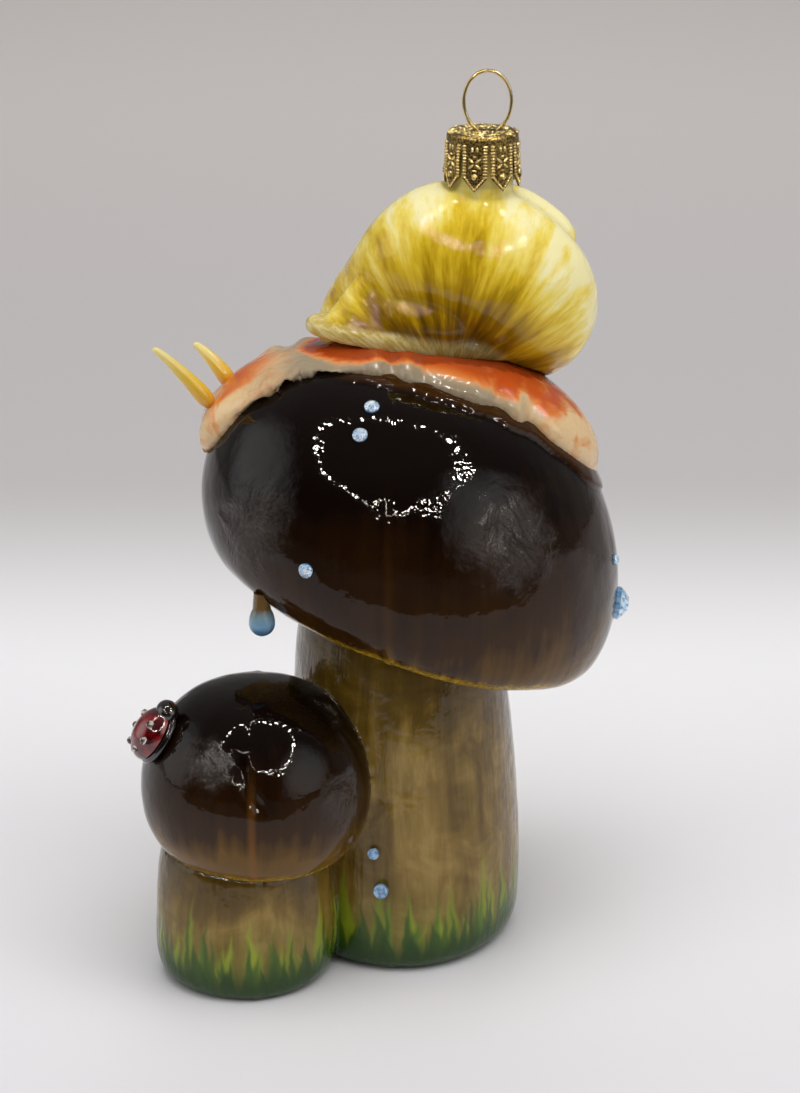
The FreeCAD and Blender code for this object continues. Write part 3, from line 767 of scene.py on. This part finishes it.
def metal(name, rubbed, patina, roughness, grain_size, grain_depth):
    """Stamped or drawn brass: a darker patina in the fine grain, brighter where it is rubbed. The grain's size
    and depth are in millimetres."""
    material, tree = start_material(name)
    place, _ = millimetres(tree, (0, 0, 0))
    grain = add(tree, "TexNoise", Vector=place, Scale=1.0 / grain_size, Detail=3.0, Roughness=0.6)
    colour = turning(tree, grain, 0.38, 0.62, patina, rubbed)
    surface(
        tree, Base_Color=colour, Metallic=1.0,
        Normal=add(tree, "Bump", Height=grain, Distance=grain_depth * MM),
        Roughness=add(tree, "MapRange", [grain, 0.3, 0.7, roughness + 0.12, roughness]),
    )
    return material


def enamel(name, hex_value, hex_deep):
    """Glossy enamel, fired in low waves on the glass, with a deeper tone where it runs thicker."""
    material, tree = start_material(name)
    place, _ = millimetres(tree, (0, 0, 0))
    cloud = add(tree, "TexNoise", Vector=place, Scale=0.5)
    colour = turning(tree, cloud, 0.35, 0.65, linear(hex_value), linear(hex_deep))
    surface(
        tree, Base_Color=colour, Normal=uneven(tree, place, 0.7, 0.08), Roughness=0.08, IOR=1.52,
        Coat_Weight=1.0, Coat_Roughness=0.02,
    )
    return material


def cut_glass(name, hex_value, hex_other):
    """A polished facet of a foil-backed stone, which mirrors what is round it in its own tint and is mottled
    with painted glints.
    """
    material, tree = start_material(name)
    place, _ = millimetres(tree, (0, 0, 0))
    # Painted glints and shade: a noise mottles the facet between its two tints
    painted_glints = add(tree, "TexNoise", Vector=place, Scale=1.0, Detail=1.0)
    colour = turning(tree, painted_glints, 0.4, 0.6, linear(hex_value), linear(hex_other))
    surface(
        tree, Base_Color=colour, Metallic=0.2, Roughness=0.03, IOR=1.55, Coat_Weight=1.0,
        Coat_Roughness=0.01,
    )
    return material


# Pieces


class OrnamentOperator(bpy.types.Operator):
    """Shared settings of the operators."""

    bl_options = {"REGISTER", "UNDO"}


class ORNAMENT_OT_large_mushroom(OrnamentOperator):
    """Makes the large cap and stem as waved glass with brown and beige lacquer"""

    bl_idname = "ornament.large_mushroom"
    bl_label = "Large mushroom"

    def execute(self, context):
        glass, paint = context.scene.ornament_glass, context.scene.ornament_paint
        seam = -2.0
        # Dull patches on the cap: the middle of each and its size, in millimetres
        patches = (
            ((-24.0, -21.0, 84.0), 9.0),
            ((20.0, -28.0, 84.0), 9.5),
            ((26.0, 18.0, 80.0), 8.0),
            ((-18.0, 25.0, 86.0), 9.0),
        )

        cap = glass_form(node_copy("large_cap", "large_cap_glass"), glass.large_face, (), glass)
        mould_seam(cap, seam * MM, glass)
        # The ledge follows the snail's foot about 3 mm off, and fades out towards its head
        points = column(cap, "co")
        ragged = 0.3 * np.sin(points[:, 0] / MM * 0.9) * MM
        off_foot = distance_to(points, ("snail_body",), 6 * MM) + ragged
        ledge = (1 - step(2.4 * MM, 3.2 * MM, off_foot)) * step(-14 * MM, -4 * MM, points[:, 0])
        raise_by(cap, ledge, glass.ledge_height)
        write_share(cap, "ledge", ledge)
        keep_inside(cap)
        centre, height = base_of("large_cap")
        lacquer = cap_lacquer(
            "Brown lacquer on the large cap", centre, radius=34.0, height=height, seam=seam - centre[0],
            seam_share=0.08, thin=0.08, patches=patches, paint=paint,
        )
        dress(cap, "glass", "cap_brown", ["large_cap"], lacquer)

        stem = node_copy("large_stem", "large_stem_glass")
        glass_form(stem, glass.large_face, ("large_cap", "small_cap", "small_stem"), glass)
        mould_seam(stem, seam * MM, glass)
        centre, height = base_of("large_stem")
        lacquer = stem_lacquer(
            "Beige lacquer on the large stem", centre, radius=22.0, height=height, grass=14.0, seed=3.0,
            paint=paint,
        )
        dress(stem, "glass", "stem_beige", ["large_stem"], lacquer)
        return {"FINISHED"}


class ORNAMENT_OT_small_mushroom(OrnamentOperator):
    """Makes the small cap and stem as waved glass with brown and beige lacquer"""

    bl_idname = "ornament.small_mushroom"
    bl_label = "Small mushroom"

    def execute(self, context):
        glass, paint = context.scene.ornament_glass, context.scene.ornament_paint
        seam = -25.3
        # Dull patches on the cap: the middle of each and its size, in millimetres
        patches = (
            ((-33.0, -37.0, 46.0), 5.0),
            ((-10.0, -34.0, 38.0), 5.5),
            ((-38.0, -9.0, 44.0), 5.0),
        )

        cap = glass_form(node_copy("small_cap", "small_cap_glass"), glass.small_face, ("large_stem",), glass)
        # A slanting groove crosses the seam on the front
        across, along, height = column(cap, "co").T / MM
        groove = np.exp(-((across - seam + 0.45 * (height - 42)) / 1.5) ** 2)
        groove *= step(38, 41, height) * (1 - step(46, 50, height)) * (along < -20)
        raise_by(cap, groove, -0.8 * MM)
        mould_seam(cap, seam * MM, glass)
        centre, height = base_of("small_cap")
        lacquer = cap_lacquer(
            "Brown lacquer on the small cap", centre, radius=19.0, height=height, seam=seam - centre[0],
            seam_share=0.65, thin=0.17, patches=patches, paint=paint,
        )
        dress(cap, "glass", "cap_brown", ["small_cap"], lacquer)

        stem = node_copy("small_stem", "small_stem_glass")
        glass_form(stem, glass.small_face, ("small_cap", "large_stem"), glass)
        mould_seam(stem, seam * MM, glass)
        centre, height = base_of("small_stem")
        lacquer = stem_lacquer(
            "Beige lacquer on the small stem", centre, radius=16.0, height=height, grass=13.0, seed=51.0,
            paint=paint,
        )
        dress(stem, "glass", "stem_beige", ["small_stem"], lacquer)
        return {"FINISHED"}


def mouth_parts(mouth, across, along, lip_radius):
    """The shell's mouth, an oval in the plane that mouth places: a flare up into the shell, the belly that the
    flare runs out of, and the rolled lip round the edge."""
    flare_height, flare_taper = 10 * MM, 0.64
    bpy.ops.object.select_all(action="DESELECT")
    bpy.ops.mesh.primitive_cone_add(
        vertices=64, radius1=1.0, radius2=flare_taper, depth=flare_height, location=(0, 0, flare_height / 2)
    )
    flare = bpy.context.object
    bpy.ops.object.transform_apply(location=True, rotation=True, scale=True)
    flare.data.transform(mouth @ Matrix.Diagonal((across - 0.8 * MM, along - 0.5 * MM, 1.0, 1.0)))

    belly_middle, belly_size = Vector((6.0, 0.5, 115.5)) * MM, (11 * MM, 7.6 * MM, 6.5 * MM, 1.0)
    bpy.ops.object.select_all(action="DESELECT")
    bpy.ops.mesh.primitive_uv_sphere_add(segments=48, ring_count=24, radius=1.0)
    belly = bpy.context.object
    belly.data.transform(Matrix.Translation(belly_middle) @ Matrix.Diagonal(belly_size))

    bpy.ops.object.select_all(action="DESELECT")
    bpy.ops.mesh.primitive_torus_add(
        major_segments=96, minor_segments=16, major_radius=across, minor_radius=lip_radius
    )
    lip = bpy.context.object
    lip.data.transform(mouth @ Matrix.Diagonal((1.0, along / across, 1.0, 1.0)))
    return [flare, belly, lip]


class ORNAMENT_OT_snail(OrnamentOperator):
    """Makes the snail's body with its folded skirt, its shell and its tentacles"""

    bl_idname = "ornament.snail"
    bl_label = "Snail"

    def execute(self, context):
        glass, paint = context.scene.ornament_glass, context.scene.ornament_paint
        shell = self.make_shell(glass, paint)
        self.make_body(glass, paint, shell)
        for node in ("front_tentacle", "rear_tentacle"):
            low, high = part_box(node)
            rod = tentacle_glass(
                "Drawn glass of the " + node.replace("_", " "), [p / MM for p in low], [p / MM for p in high]
            )
            dress(smooth_copy(node, node + "_glass"), "glass", "shell_yellow", [node], rod)
        return {"FINISHED"}

    @staticmethod
    def make_shell(glass, paint):
        """The shell with its flared mouth and rolled lip, softened where they run together."""
        mouth_middle, mouth_tilt = Vector((3.0, 2.0, 111.4)) * MM, math.radians(6.7)
        mouth = Matrix.Translation(mouth_middle) @ Matrix.Rotation(mouth_tilt, 4, "Y")
        across, along = 18.4 * MM, 8.0 * MM
        shell = node_copy("snail_shell", "snail_shell_glass")
        joined("snail_shell_glass", [shell, *mouth_parts(mouth, across, along, glass.lip_radius)])
        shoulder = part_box("crown_cap")[0][2] - 0.3 * MM
        glass_form(shell, glass.small_face, ("large_cap",), glass, shoulder)

        # The lip's ring stays crisp while the rest of the mouth is softened
        points = column(shell, "co")
        local = (points - np.array(mouth.translation)) @ np.array(mouth.to_3x3())
        ring = np.hypot(local[:, 0] / across, local[:, 1] / along)
        off_lip = np.hypot((ring - 1) * along * (1 + np.abs(local[:, 0]) / across), local[:, 2])
        near_lip = 1 - step(1.2 * MM, 2.6 * MM, off_lip)
        low_front = (1 - step(116 * MM, 121 * MM, points[:, 2])) * (1 - 0.85 * near_lip)
        soften(shell, low_front, 25)
        paint_crease_shade(shell, 0.06 * MM)
        write_share(shell, "lip", near_lip * (1 - step(-6 * MM, 14 * MM, points[:, 0]) * 0.8))

        hub, neck_middle = (8.5, -2.0, 103.0), (14.2, 3.0, shoulder / MM)
        neck = [part - start for part, start in zip(neck_middle, hub)]
        lacquer = shell_lacquer("Yellow lacquer on the shell", hub, 6.0, 30.0, neck, paint)
        dress(shell, "glass", "shell_yellow", ["snail_shell"], lacquer)
        return shell

    @staticmethod
    def make_body(glass, paint, shell):
        """The body: its skirt's hem is spread over the cap behind the head and folded all along, and a dimple
        is pressed in beside the head. Rise is the height over the cap; hem and left are shares from 0 to 1."""
        body = glass_form(node_copy("snail_body", "snail_body_glass"), glass.small_face, (), glass)
        points, side = column(body, "co"), column(body, "normal")[:, 1]
        rise = distance_to(points, ("large_cap",), 14 * MM)
        length = points[:, 0] / MM
        hem = (1 - step(1.0 * MM, 5.0 * MM, rise)) * step(0.1, 0.5, np.abs(side))
        left = step(-31, -24, length) * (1 - step(-12, -2, length))
        spread = 2.8 * MM
        raise_by(body, hem * left * (side < 0), -spread, "Y")
        raise_by(body, hem * left * (side > 0), spread, "Y")
        soften(body, np.maximum(hem, left), 10)
        folds = 0.5 + 0.5 * np.sin(length * 0.72 + 1.5 * np.sin(length * 0.31))
        raise_by(body, hem * folds * (1 - 0.5 * left), glass.skirt_wave)
        dimple = np.linalg.norm(column(body, "co") - np.array((-22.5, -10.5, 102.0)) * MM, axis=1)
        raise_by(body, 1 - step(0.5 * MM, 3.6 * MM, dimple), -0.4 * MM)
        grow_into(body, ("large_cap",), glass.bond_depth)
        paint_crease_shade(body, 0.12 * MM)
        write_share(body, "rise", rise / MM)
        write_share(body, "near", distance_to(points, (shell,), 14 * MM) / MM)
        lacquer = snail_lacquer("Cream and rust lacquer on the snail", paint)
        dress(body, "glass", "snail_skin", ["snail_body"], lacquer)


class ORNAMENT_OT_dew_drop(OrnamentOperator):
    """Makes the blue glass drop that hangs from the large cap's rim"""

    bl_idname = "ornament.dew_drop"
    bl_label = "Dew drop"

    def execute(self, context):
        low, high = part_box("dew_drop")
        blue = drop_glass("Blue glass drop", low[2] / MM, high[2] / MM)
        dress(smooth_copy("dew_drop", "dew_drop_glass", 60), "glass", "dew_blue", ["dew_drop"], blue)
        return {"FINISHED"}


class ORNAMENT_OT_crown_cap(OrnamentOperator):
    """Adds the stamped relief of beads, leaves and bosses to the brass crown cap"""

    bl_idname = "ornament.crown_cap"
    bl_label = "Crown cap"

    def execute(self, context):
        paint = context.scene.ornament_paint
        dark = linear("#4c3a1a")
        patina = metal("Antique brass with dark patina", tuple(paint.brass_low), dark, 0.34, 0.35, 0.05)
        rubbed = metal("Rubbed brass relief", tuple(paint.brass_high), linear("#cbb06c"), 0.26, 0.3, 0.03)
        sheet = smooth_copy("crown_cap", "crown_cap_sheet", 35)
        dress(sheet, "crown", "antique_brass", ["crown_cap"], patina)

        low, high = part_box("crown_cap")
        middle = Vector(((low[0] + high[0]) / 2, (low[1] + high[1]) / 2, 0))
        bottom, top = low[2], high[2]
        petals, turn = 8, math.radians(8.75)
        hem_radius, top_radius, half_width = 6.6 * MM, 6.2 * MM, 1.85 * MM

        def on_skirt(across, height, size, twist=0.0):
            """Where a bead of a size sits on the skirt's outside, for a place on one petal."""
            share = (top - height) / (top - bottom)
            radius = top_radius + (hem_radius - top_radius) * share
            spin = Matrix.Rotation(across / radius, 4, "Z")
            lift = Matrix.Translation((radius, 0, height))
            return spin @ lift @ Matrix.Rotation(twist, 4, "X") @ Matrix.Diagonal((*size, 1.0))

        # One petal: rungs up both edges, beads along its point, four leaves in a cross and bosses between
        beads = []
        rungs, rung_pitch, rung = 11, 0.52 * MM, (0.28 * MM, 0.42 * MM, 0.2 * MM)
        point_beads, point_height = 6, 2.3 * MM
        for side in (-1, 1):
            for index in range(rungs):
                beads.append(on_skirt(side * half_width, bottom + 2.6 * MM + rung_pitch * index, rung))
            for index in range(point_beads):
                share = (index + 0.5) / point_beads
                across = side * half_width * (1 - share)
                height = bottom + 0.35 * MM + point_height * (1 - share)
                beads.append(on_skirt(across, height, (0.22 * MM, 0.26 * MM, 0.2 * MM), side * 0.7))
            beads.append(on_skirt(side * 0.42 * MM, bottom + 7.3 * MM, (0.28 * MM, 0.24 * MM, 0.46 * MM)))
            for climb in (-1, 1):
                leaf, height = (0.24 * MM, 0.62 * MM, 0.22 * MM), bottom + (4.9 + 0.5 * climb) * MM
                beads.append(on_skirt(side * 0.62 * MM, height, leaf, side * climb * 0.7))
        beads.append(on_skirt(0.0, bottom + 2.55 * MM, (0.5 * MM, 0.62 * MM, 0.62 * MM)))
        beads.append(on_skirt(0.0, bottom + 6.1 * MM, (0.2 * MM, 0.3 * MM, 0.18 * MM)))
        beads.append(on_skirt(0.0, bottom + 3.7 * MM, (0.2 * MM, 0.42 * MM, 0.16 * MM)))

        placements = []
        place = Matrix.Translation(middle)
        for petal in range(petals):
            spin = Matrix.Rotation(math.tau * (petal + 0.5) / petals + turn, 4, "Z")
            placements.extend(place @ spin @ bead for bead in beads)

        # The pebbled top: grains strewn over it, apart from the slot, and down over its rounded edge
        chance = np.random.default_rng(11)
        grains, flat_radius = 230, 5.4 * MM
        while grains:
            angle, radius = chance.uniform(0, math.tau), math.sqrt(chance.uniform(0.0, 1.0)) * 6.15 * MM
            size = chance.uniform(0.20, 0.40) * MM
            across, along = radius * math.cos(angle), radius * math.sin(angle)
            in_slot = abs(along) < 1.0 * MM and abs(across - 0.8 * MM) < 3.0 * MM
            if not in_slot:
                height = top - max(0.0, radius - flat_radius) ** 2 / (1.6 * MM) - 0.05 * MM
                spot = place @ Matrix.Translation((across, along, height))
                placements.append(spot @ Matrix.Diagonal((size, size, size * 0.6, 1.0)))
                grains -= 1
        bpy.ops.object.select_all(action="DESELECT")
        bpy.ops.mesh.primitive_uv_sphere_add(segments=8, ring_count=6, radius=1.0)
        master = bpy.context.object
        relief_piece = copies(master, placements, "crown_cap_relief")
        only(relief_piece)
        bpy.ops.object.shade_smooth()
        dress(relief_piece, "crown", "antique_brass", [], rubbed)
        return {"FINISHED"}


class ORNAMENT_OT_hanger_wire(OrnamentOperator):
    """Finishes the spring wire in bright brass"""

    bl_idname = "ornament.hanger_wire"
    bl_label = "Hanger wire"

    def execute(self, context):
        wire = smooth_copy("hanger_wire", "hanger_wire_loop")
        bright = metal("Drawn brass wire", linear("#ecd9a2"), linear("#c4a868"), 0.16, 0.8, 0.01)
        dress(wire, "hanger", "gold_wire", ["hanger_wire"], bright)
        return {"FINISHED"}


class ORNAMENT_OT_ladybird(OrnamentOperator):
    """Finishes the ladybird in red and black enamel with dark set stones"""

    bl_idname = "ornament.ladybird"
    bl_label = "Ladybird"

    def execute(self, context):
        black = enamel("Black enamel", "#0d0908", "#1c1210")
        red = enamel("Deep red enamel", "#7d0a10", "#3c0306")
        for node, slot, finish in (
            ("ladybird_underbody", "bug_black", black),
            ("ladybird_head", "bug_black", black),
            ("ladybird_wing_cases", "bug_red", red),
        ):
            dress(smooth_copy(node, node + "_enamel", 40), "glass", slot, [node], finish)
        # Painted glints: the near white in the dark stones' mottling
        stones = cut_glass("Dark cut stone", "#2c2022", "#d9d0c8")
        spots = node_copy("ladybird_spots", "ladybird_spot_stones")
        dress(spots, "glass", "spot_crystal", ["ladybird_spots"], stones)
        return {"FINISHED"}


def table_of(node):
    """A flat stone's table: its middle and its outward direction, from the largest flat patch of the solid."""
    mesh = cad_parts[node].data
    areas = {}
    for polygon in mesh.polygons:
        key = tuple(round(part, 2) for part in polygon.normal)
        total, centre = areas.get(key, (0.0, Vector()))
        areas[key] = (total + polygon.area, centre + polygon.center * polygon.area)
    key, (total, centre) = max(areas.items(), key=lambda item: item[1][0])
    return centre / total, Vector(key).normalized()


class ORNAMENT_OT_crystals(OrnamentOperator):
    """Cuts the glued stones with a table and two rows of facets, with painted light and shade on the facets"""

    bl_idname = "ornament.crystals"
    bl_label = "Crystals"

    def execute(self, context):
        # Painted light and shade: a bright and a shaded copy of each crystal's glass
        light = cut_glass("Foil-backed crystal, bright facets", "#f6fbff", "#bcd8f2")
        dark = cut_glass("Foil-backed crystal, shaded facets", "#98c2e6", "#5f86b2")
        pale = cut_glass("Light blue crystal, bright facets", "#e6f3fc", "#a6cfec")
        deep = cut_glass("Light blue crystal, shaded facets", "#94c4e8", "#6499c8")
        widths = {
            "cap_crystal_upper": 2.6, "cap_crystal_top": 2.6, "cap_crystal_front": 2.6,
            "cap_crystal_right": 2.05, "rim_crystal_large": 6.0, "stem_crystal_upper": 2.05,
            "stem_crystal_lower": 2.6,
        }
        for node, width in widths.items():
            table, outward = table_of(node)
            stone = self.cut_stone(node + "_stone", width * MM, table, outward)
            facets = (pale, deep) if node == "rim_crystal_large" else (light, dark)
            dress(stone, "glass", "crystal_clear", [node], *facets)
            # Facets that turn away from the table, and every third sloping facet, get the shaded glass as
            # painted shade; the table and the rest get painted light
            for index, polygon in enumerate(stone.data.polygons):
                side = polygon.normal.dot(outward)
                polygon.material_index = 1 if side < 0.2 or (side < 0.93 and index % 3 == 0) else 0
        return {"FINISHED"}

    @staticmethod
    def cut_stone(name, width, table, outward):
        """A stone of a width, cut from a drum: two rings are inset in its top and let down round the table."""
        radius, height, table_share = width / 2, width * 0.36, 0.44
        bpy.ops.object.select_all(action="DESELECT")
        bpy.ops.mesh.primitive_cylinder_add(
            vertices=16, radius=radius, depth=height * 1.6, end_fill_type="NGON",
            location=(0, 0, -height * 0.8),
        )
        stone = bpy.context.object
        bpy.ops.object.transform_apply(location=True, rotation=True, scale=True)
        bpy.ops.object.mode_set(mode="EDIT")
        bpy.ops.mesh.select_all(action="DESELECT")
        bpy.ops.object.mode_set(mode="OBJECT")
        for polygon in stone.data.polygons:
            polygon.select = polygon.normal.z > 0.9
        bpy.ops.object.mode_set(mode="EDIT")
        bpy.ops.mesh.select_mode(type="FACE")
        for inset in (0.20, 0.36):
            bpy.ops.mesh.inset(thickness=radius * inset, depth=0.0)
        bpy.ops.object.mode_set(mode="OBJECT")
        for vertex in stone.data.vertices:
            reach = math.hypot(vertex.co.x, vertex.co.y) / radius
            if vertex.co.z > -0.01 * MM:
                vertex.co.z = -height * (0.72 * max(0.0, (reach - table_share) / (1 - table_share)) ** 1.3)
        only(stone)
        bpy.ops.object.mode_set(mode="EDIT")
        bpy.ops.mesh.select_all(action="SELECT")
        bpy.ops.mesh.quads_convert_to_tris(quad_method="FIXED", ngon_method="CLIP")
        bpy.ops.object.mode_set(mode="OBJECT")
        turn = outward.to_track_quat("Z", "Y").to_matrix().to_4x4()
        stone.data.transform(Matrix.Translation(table) @ turn)
        stone.name = name
        return stone


class ORNAMENT_OT_stage(OrnamentOperator):
    """Sets the camera, the lamps and the pale floor"""

    bl_idname = "ornament.stage"
    bl_label = "Stage"

    def execute(self, context):
        context.scene.view_settings.view_transform = "Standard"
        self.set_camera(context.scene)
        self.lay_floor()
        self.hang_lamps(context.scene)
        self.hang_ring()
        self.light_room(context.scene)
        return {"FINISHED"}

    @staticmethod
    def set_camera(scene):
        """The photograph's view: a long lens from 20 degrees above, aimed at the ornament's middle."""
        distance, elevation, aim = 492 * MM, math.radians(20), 72.7 * MM
        focal_pixels, photo_height = 2732, 1093
        camera = bpy.data.cameras.new("camera")
        camera.sensor_fit = "VERTICAL"
        camera.sensor_height = 36.0
        camera.lens = camera.sensor_height * focal_pixels / photo_height
        camera.clip_start = 0.01
        holder = bpy.data.objects.new("camera", camera)
        holder.location = (0, -distance * math.cos(elevation), aim + distance * math.sin(elevation))
        holder.rotation_euler = (math.pi / 2 - elevation, 0, 0)
        scene.collection.objects.link(holder)
        scene.camera = holder

    @staticmethod
    def lay_floor():
        """A pale paper floor with a painted pool of light: white round the ornament and greyer further off, as
        painted shade.
        Glass that mirrors the front of it sees the paper end there and the dark room below."""
        bpy.ops.object.select_all(action="DESELECT")
        bpy.ops.mesh.primitive_plane_add(size=12.0, location=(0, 0, 0))
        floor = bpy.context.object
        floor.name = "floor"
        material, tree = start_material("Pale matt paper")
        back = millimetres(tree, (0, 0, 0))[1]["Y"]
        # Painted light and shade: lightest just behind the ornament, a little darker in front, greyer far off
        near = add(
            tree, "ValToRGB", [add(tree, "MapRange", [back, -160.0, 140.0])],
            stops=[(0.0, linear("#d9d6da")), (1.0, linear("#ecebed"))],
        )
        far = turning(tree, back, 260.0, 900.0, linear("#bcb8b9"), linear("#cec8c5"))
        shade = turning(tree, back, 110.0, 260.0, near, far)
        past_edge = add(tree, "MapRange", [back, -185.0, -175.0, 1.0, 0.0])
        in_mirror = add(tree, "LightPath", output="Is Glossy Ray")
        mirrored = add(tree, "Math", [past_edge, in_mirror], operation="MULTIPLY")
        shade = add(tree, "Mix", {0: mirrored, 6: shade, 7: linear("#2c2724")})
        surface(tree, Base_Color=shade, Roughness=0.75)
        floor.data.materials.append(material)

    @staticmethod
    def hang_lamps(scene):
        """Four soft lamps aimed at the ornament. Glossy rays miss them, so no square shows on the glass."""
        for name, place, size, power in (
            ("overhead", (0.1, -0.25, 1.3), 1.1, 11.2),
            ("left", (-1.1, -0.7, 0.8), 0.9, 4.5),
            ("right", (1.2, -0.5, 0.9), 0.9, 4.5),
            ("back", (0.0, 1.3, 0.9), 0.9, 3.2),
        ):
            lamp = bpy.data.lights.new(name, "AREA")
            lamp.size = size
            lamp.energy = power
            holder = bpy.data.objects.new(name, lamp)
            holder.location = place
            aim = Vector((0, 0, 80 * MM)) - Vector(place)
            holder.rotation_euler = aim.to_track_quat("-Z", "Y").to_euler()
            holder.visible_glossy = False
            scene.collection.objects.link(holder)

    @staticmethod
    def hang_ring():
        """A ring of small lamps over the table, which shows only as dotted glints on the glass."""
        lamps, width, depth, middle, height = 40, 0.70, 0.78, -0.80, 0.85
        bpy.ops.object.select_all(action="DESELECT")
        bpy.ops.mesh.primitive_ico_sphere_add(subdivisions=2, radius=11 * MM)
        spots = []
        for index in range(lamps):
            angle = math.tau * index / lamps
            spot = (width * math.cos(angle), middle + depth * math.sin(angle), height)
            spots.append(Matrix.Translation(spot))
        ring = copies(bpy.context.object, spots, "ring_lamp")
        glow, tree = start_material("Glowing lamp glass")
        surface(tree, Base_Color=linear("#ffffff"), Emission_Color=linear("#fffaf0"), Emission_Strength=320.0)
        ring.data.materials.append(glow)
        ring.visible_camera = False
        ring.visible_diffuse = False
        ring.visible_shadow = False

    @staticmethod
    def light_room(scene):
        """The room: a grey wall to the eye, and for what the glass mirrors a pale wall behind the ornament, a
        darker room behind the camera and two windows that glow softly to the left and right."""
        world = bpy.data.worlds.new("room")
        world.use_nodes = True
        scene.world = world
        tree = world.node_tree
        tree.nodes.clear()
        rays = add(tree, "LightPath", output=None)
        direction = add(tree, "TexCoord", output="Generated")
        parts = add(tree, "SeparateXYZ", [direction], output=None)
        room = turning(tree, parts[2], -0.1, 0.9, linear("#9a9795"), linear("#d9d8d8"))
        front = turning(tree, parts[2], 0.25, 0.95, linear("#1d1a18"), linear("#8a8785"))
        mirrored = turning(tree, parts[1], -0.35, 0.45, front, linear("#b5b3b2"))
        for window in ((-0.95, 0.0, 0.30), (0.79, -0.55, 0.29)):
            facing = add(tree, "VectorMath", [direction, window], operation="DOT_PRODUCT", output="Value")
            mirrored = turning(tree, facing, 0.84, 1.0, mirrored, (2.6, 2.6, 2.6, 1.0))
        seen = add(tree, "Mix", {0: rays["Is Glossy Ray"], 6: room, 7: mirrored})
        direct = [rays["Is Camera Ray"], rays["Is Transmission Ray"]]
        direct = add(tree, "Math", direct, operation="MAXIMUM")
        seen = add(tree, "Mix", {0: direct, 6: seen, 7: linear("#c4c2c3")})
        add(tree, "OutputWorld", [add(tree, "Background", [seen, 0.5])], output=None)


class ORNAMENT_PT_panel(bpy.types.Panel):
    """Lists the ornament's settings and pieces in the 3D view's sidebar."""

    bl_idname = "ORNAMENT_PT_panel"
    bl_label = "Mushroom ornament"
    bl_space_type = "VIEW_3D"
    bl_region_type = "UI"
    bl_category = "Ornament"

    def draw(self, context):
        for group in (context.scene.ornament_glass, context.scene.ornament_paint):
            box = self.layout.box()
            for name in group.__annotations__:
                box.prop(group, name)
        for operator in OPERATORS:
            self.layout.operator(operator.bl_idname)


OPERATORS = (
    ORNAMENT_OT_stage,
    ORNAMENT_OT_large_mushroom,
    ORNAMENT_OT_small_mushroom,
    ORNAMENT_OT_snail,
    ORNAMENT_OT_dew_drop,
    ORNAMENT_OT_crown_cap,
    ORNAMENT_OT_hanger_wire,
    ORNAMENT_OT_ladybird,
    ORNAMENT_OT_crystals,
)
CLASSES = (ORNAMENT_PG_glass, ORNAMENT_PG_paint, *OPERATORS, ORNAMENT_PT_panel)


def register():
    for cls in CLASSES:
        bpy.utils.register_class(cls)
    bpy.types.Scene.ornament_glass = bpy.props.PointerProperty(type=ORNAMENT_PG_glass)
    bpy.types.Scene.ornament_paint = bpy.props.PointerProperty(type=ORNAMENT_PG_paint)


def unregister():
    del bpy.types.Scene.ornament_paint
    del bpy.types.Scene.ornament_glass
    for cls in reversed(CLASSES):
        bpy.utils.unregister_class(cls)


def main():
    register()
    bpy.ops.ornament.stage()
    bpy.ops.ornament.large_mushroom()
    bpy.ops.ornament.small_mushroom()
    bpy.ops.ornament.snail()
    bpy.ops.ornament.dew_drop()
    bpy.ops.ornament.crown_cap()
    bpy.ops.ornament.hanger_wire()
    bpy.ops.ornament.ladybird()
    bpy.ops.ornament.crystals()


if __name__ == "__main__":
    main()
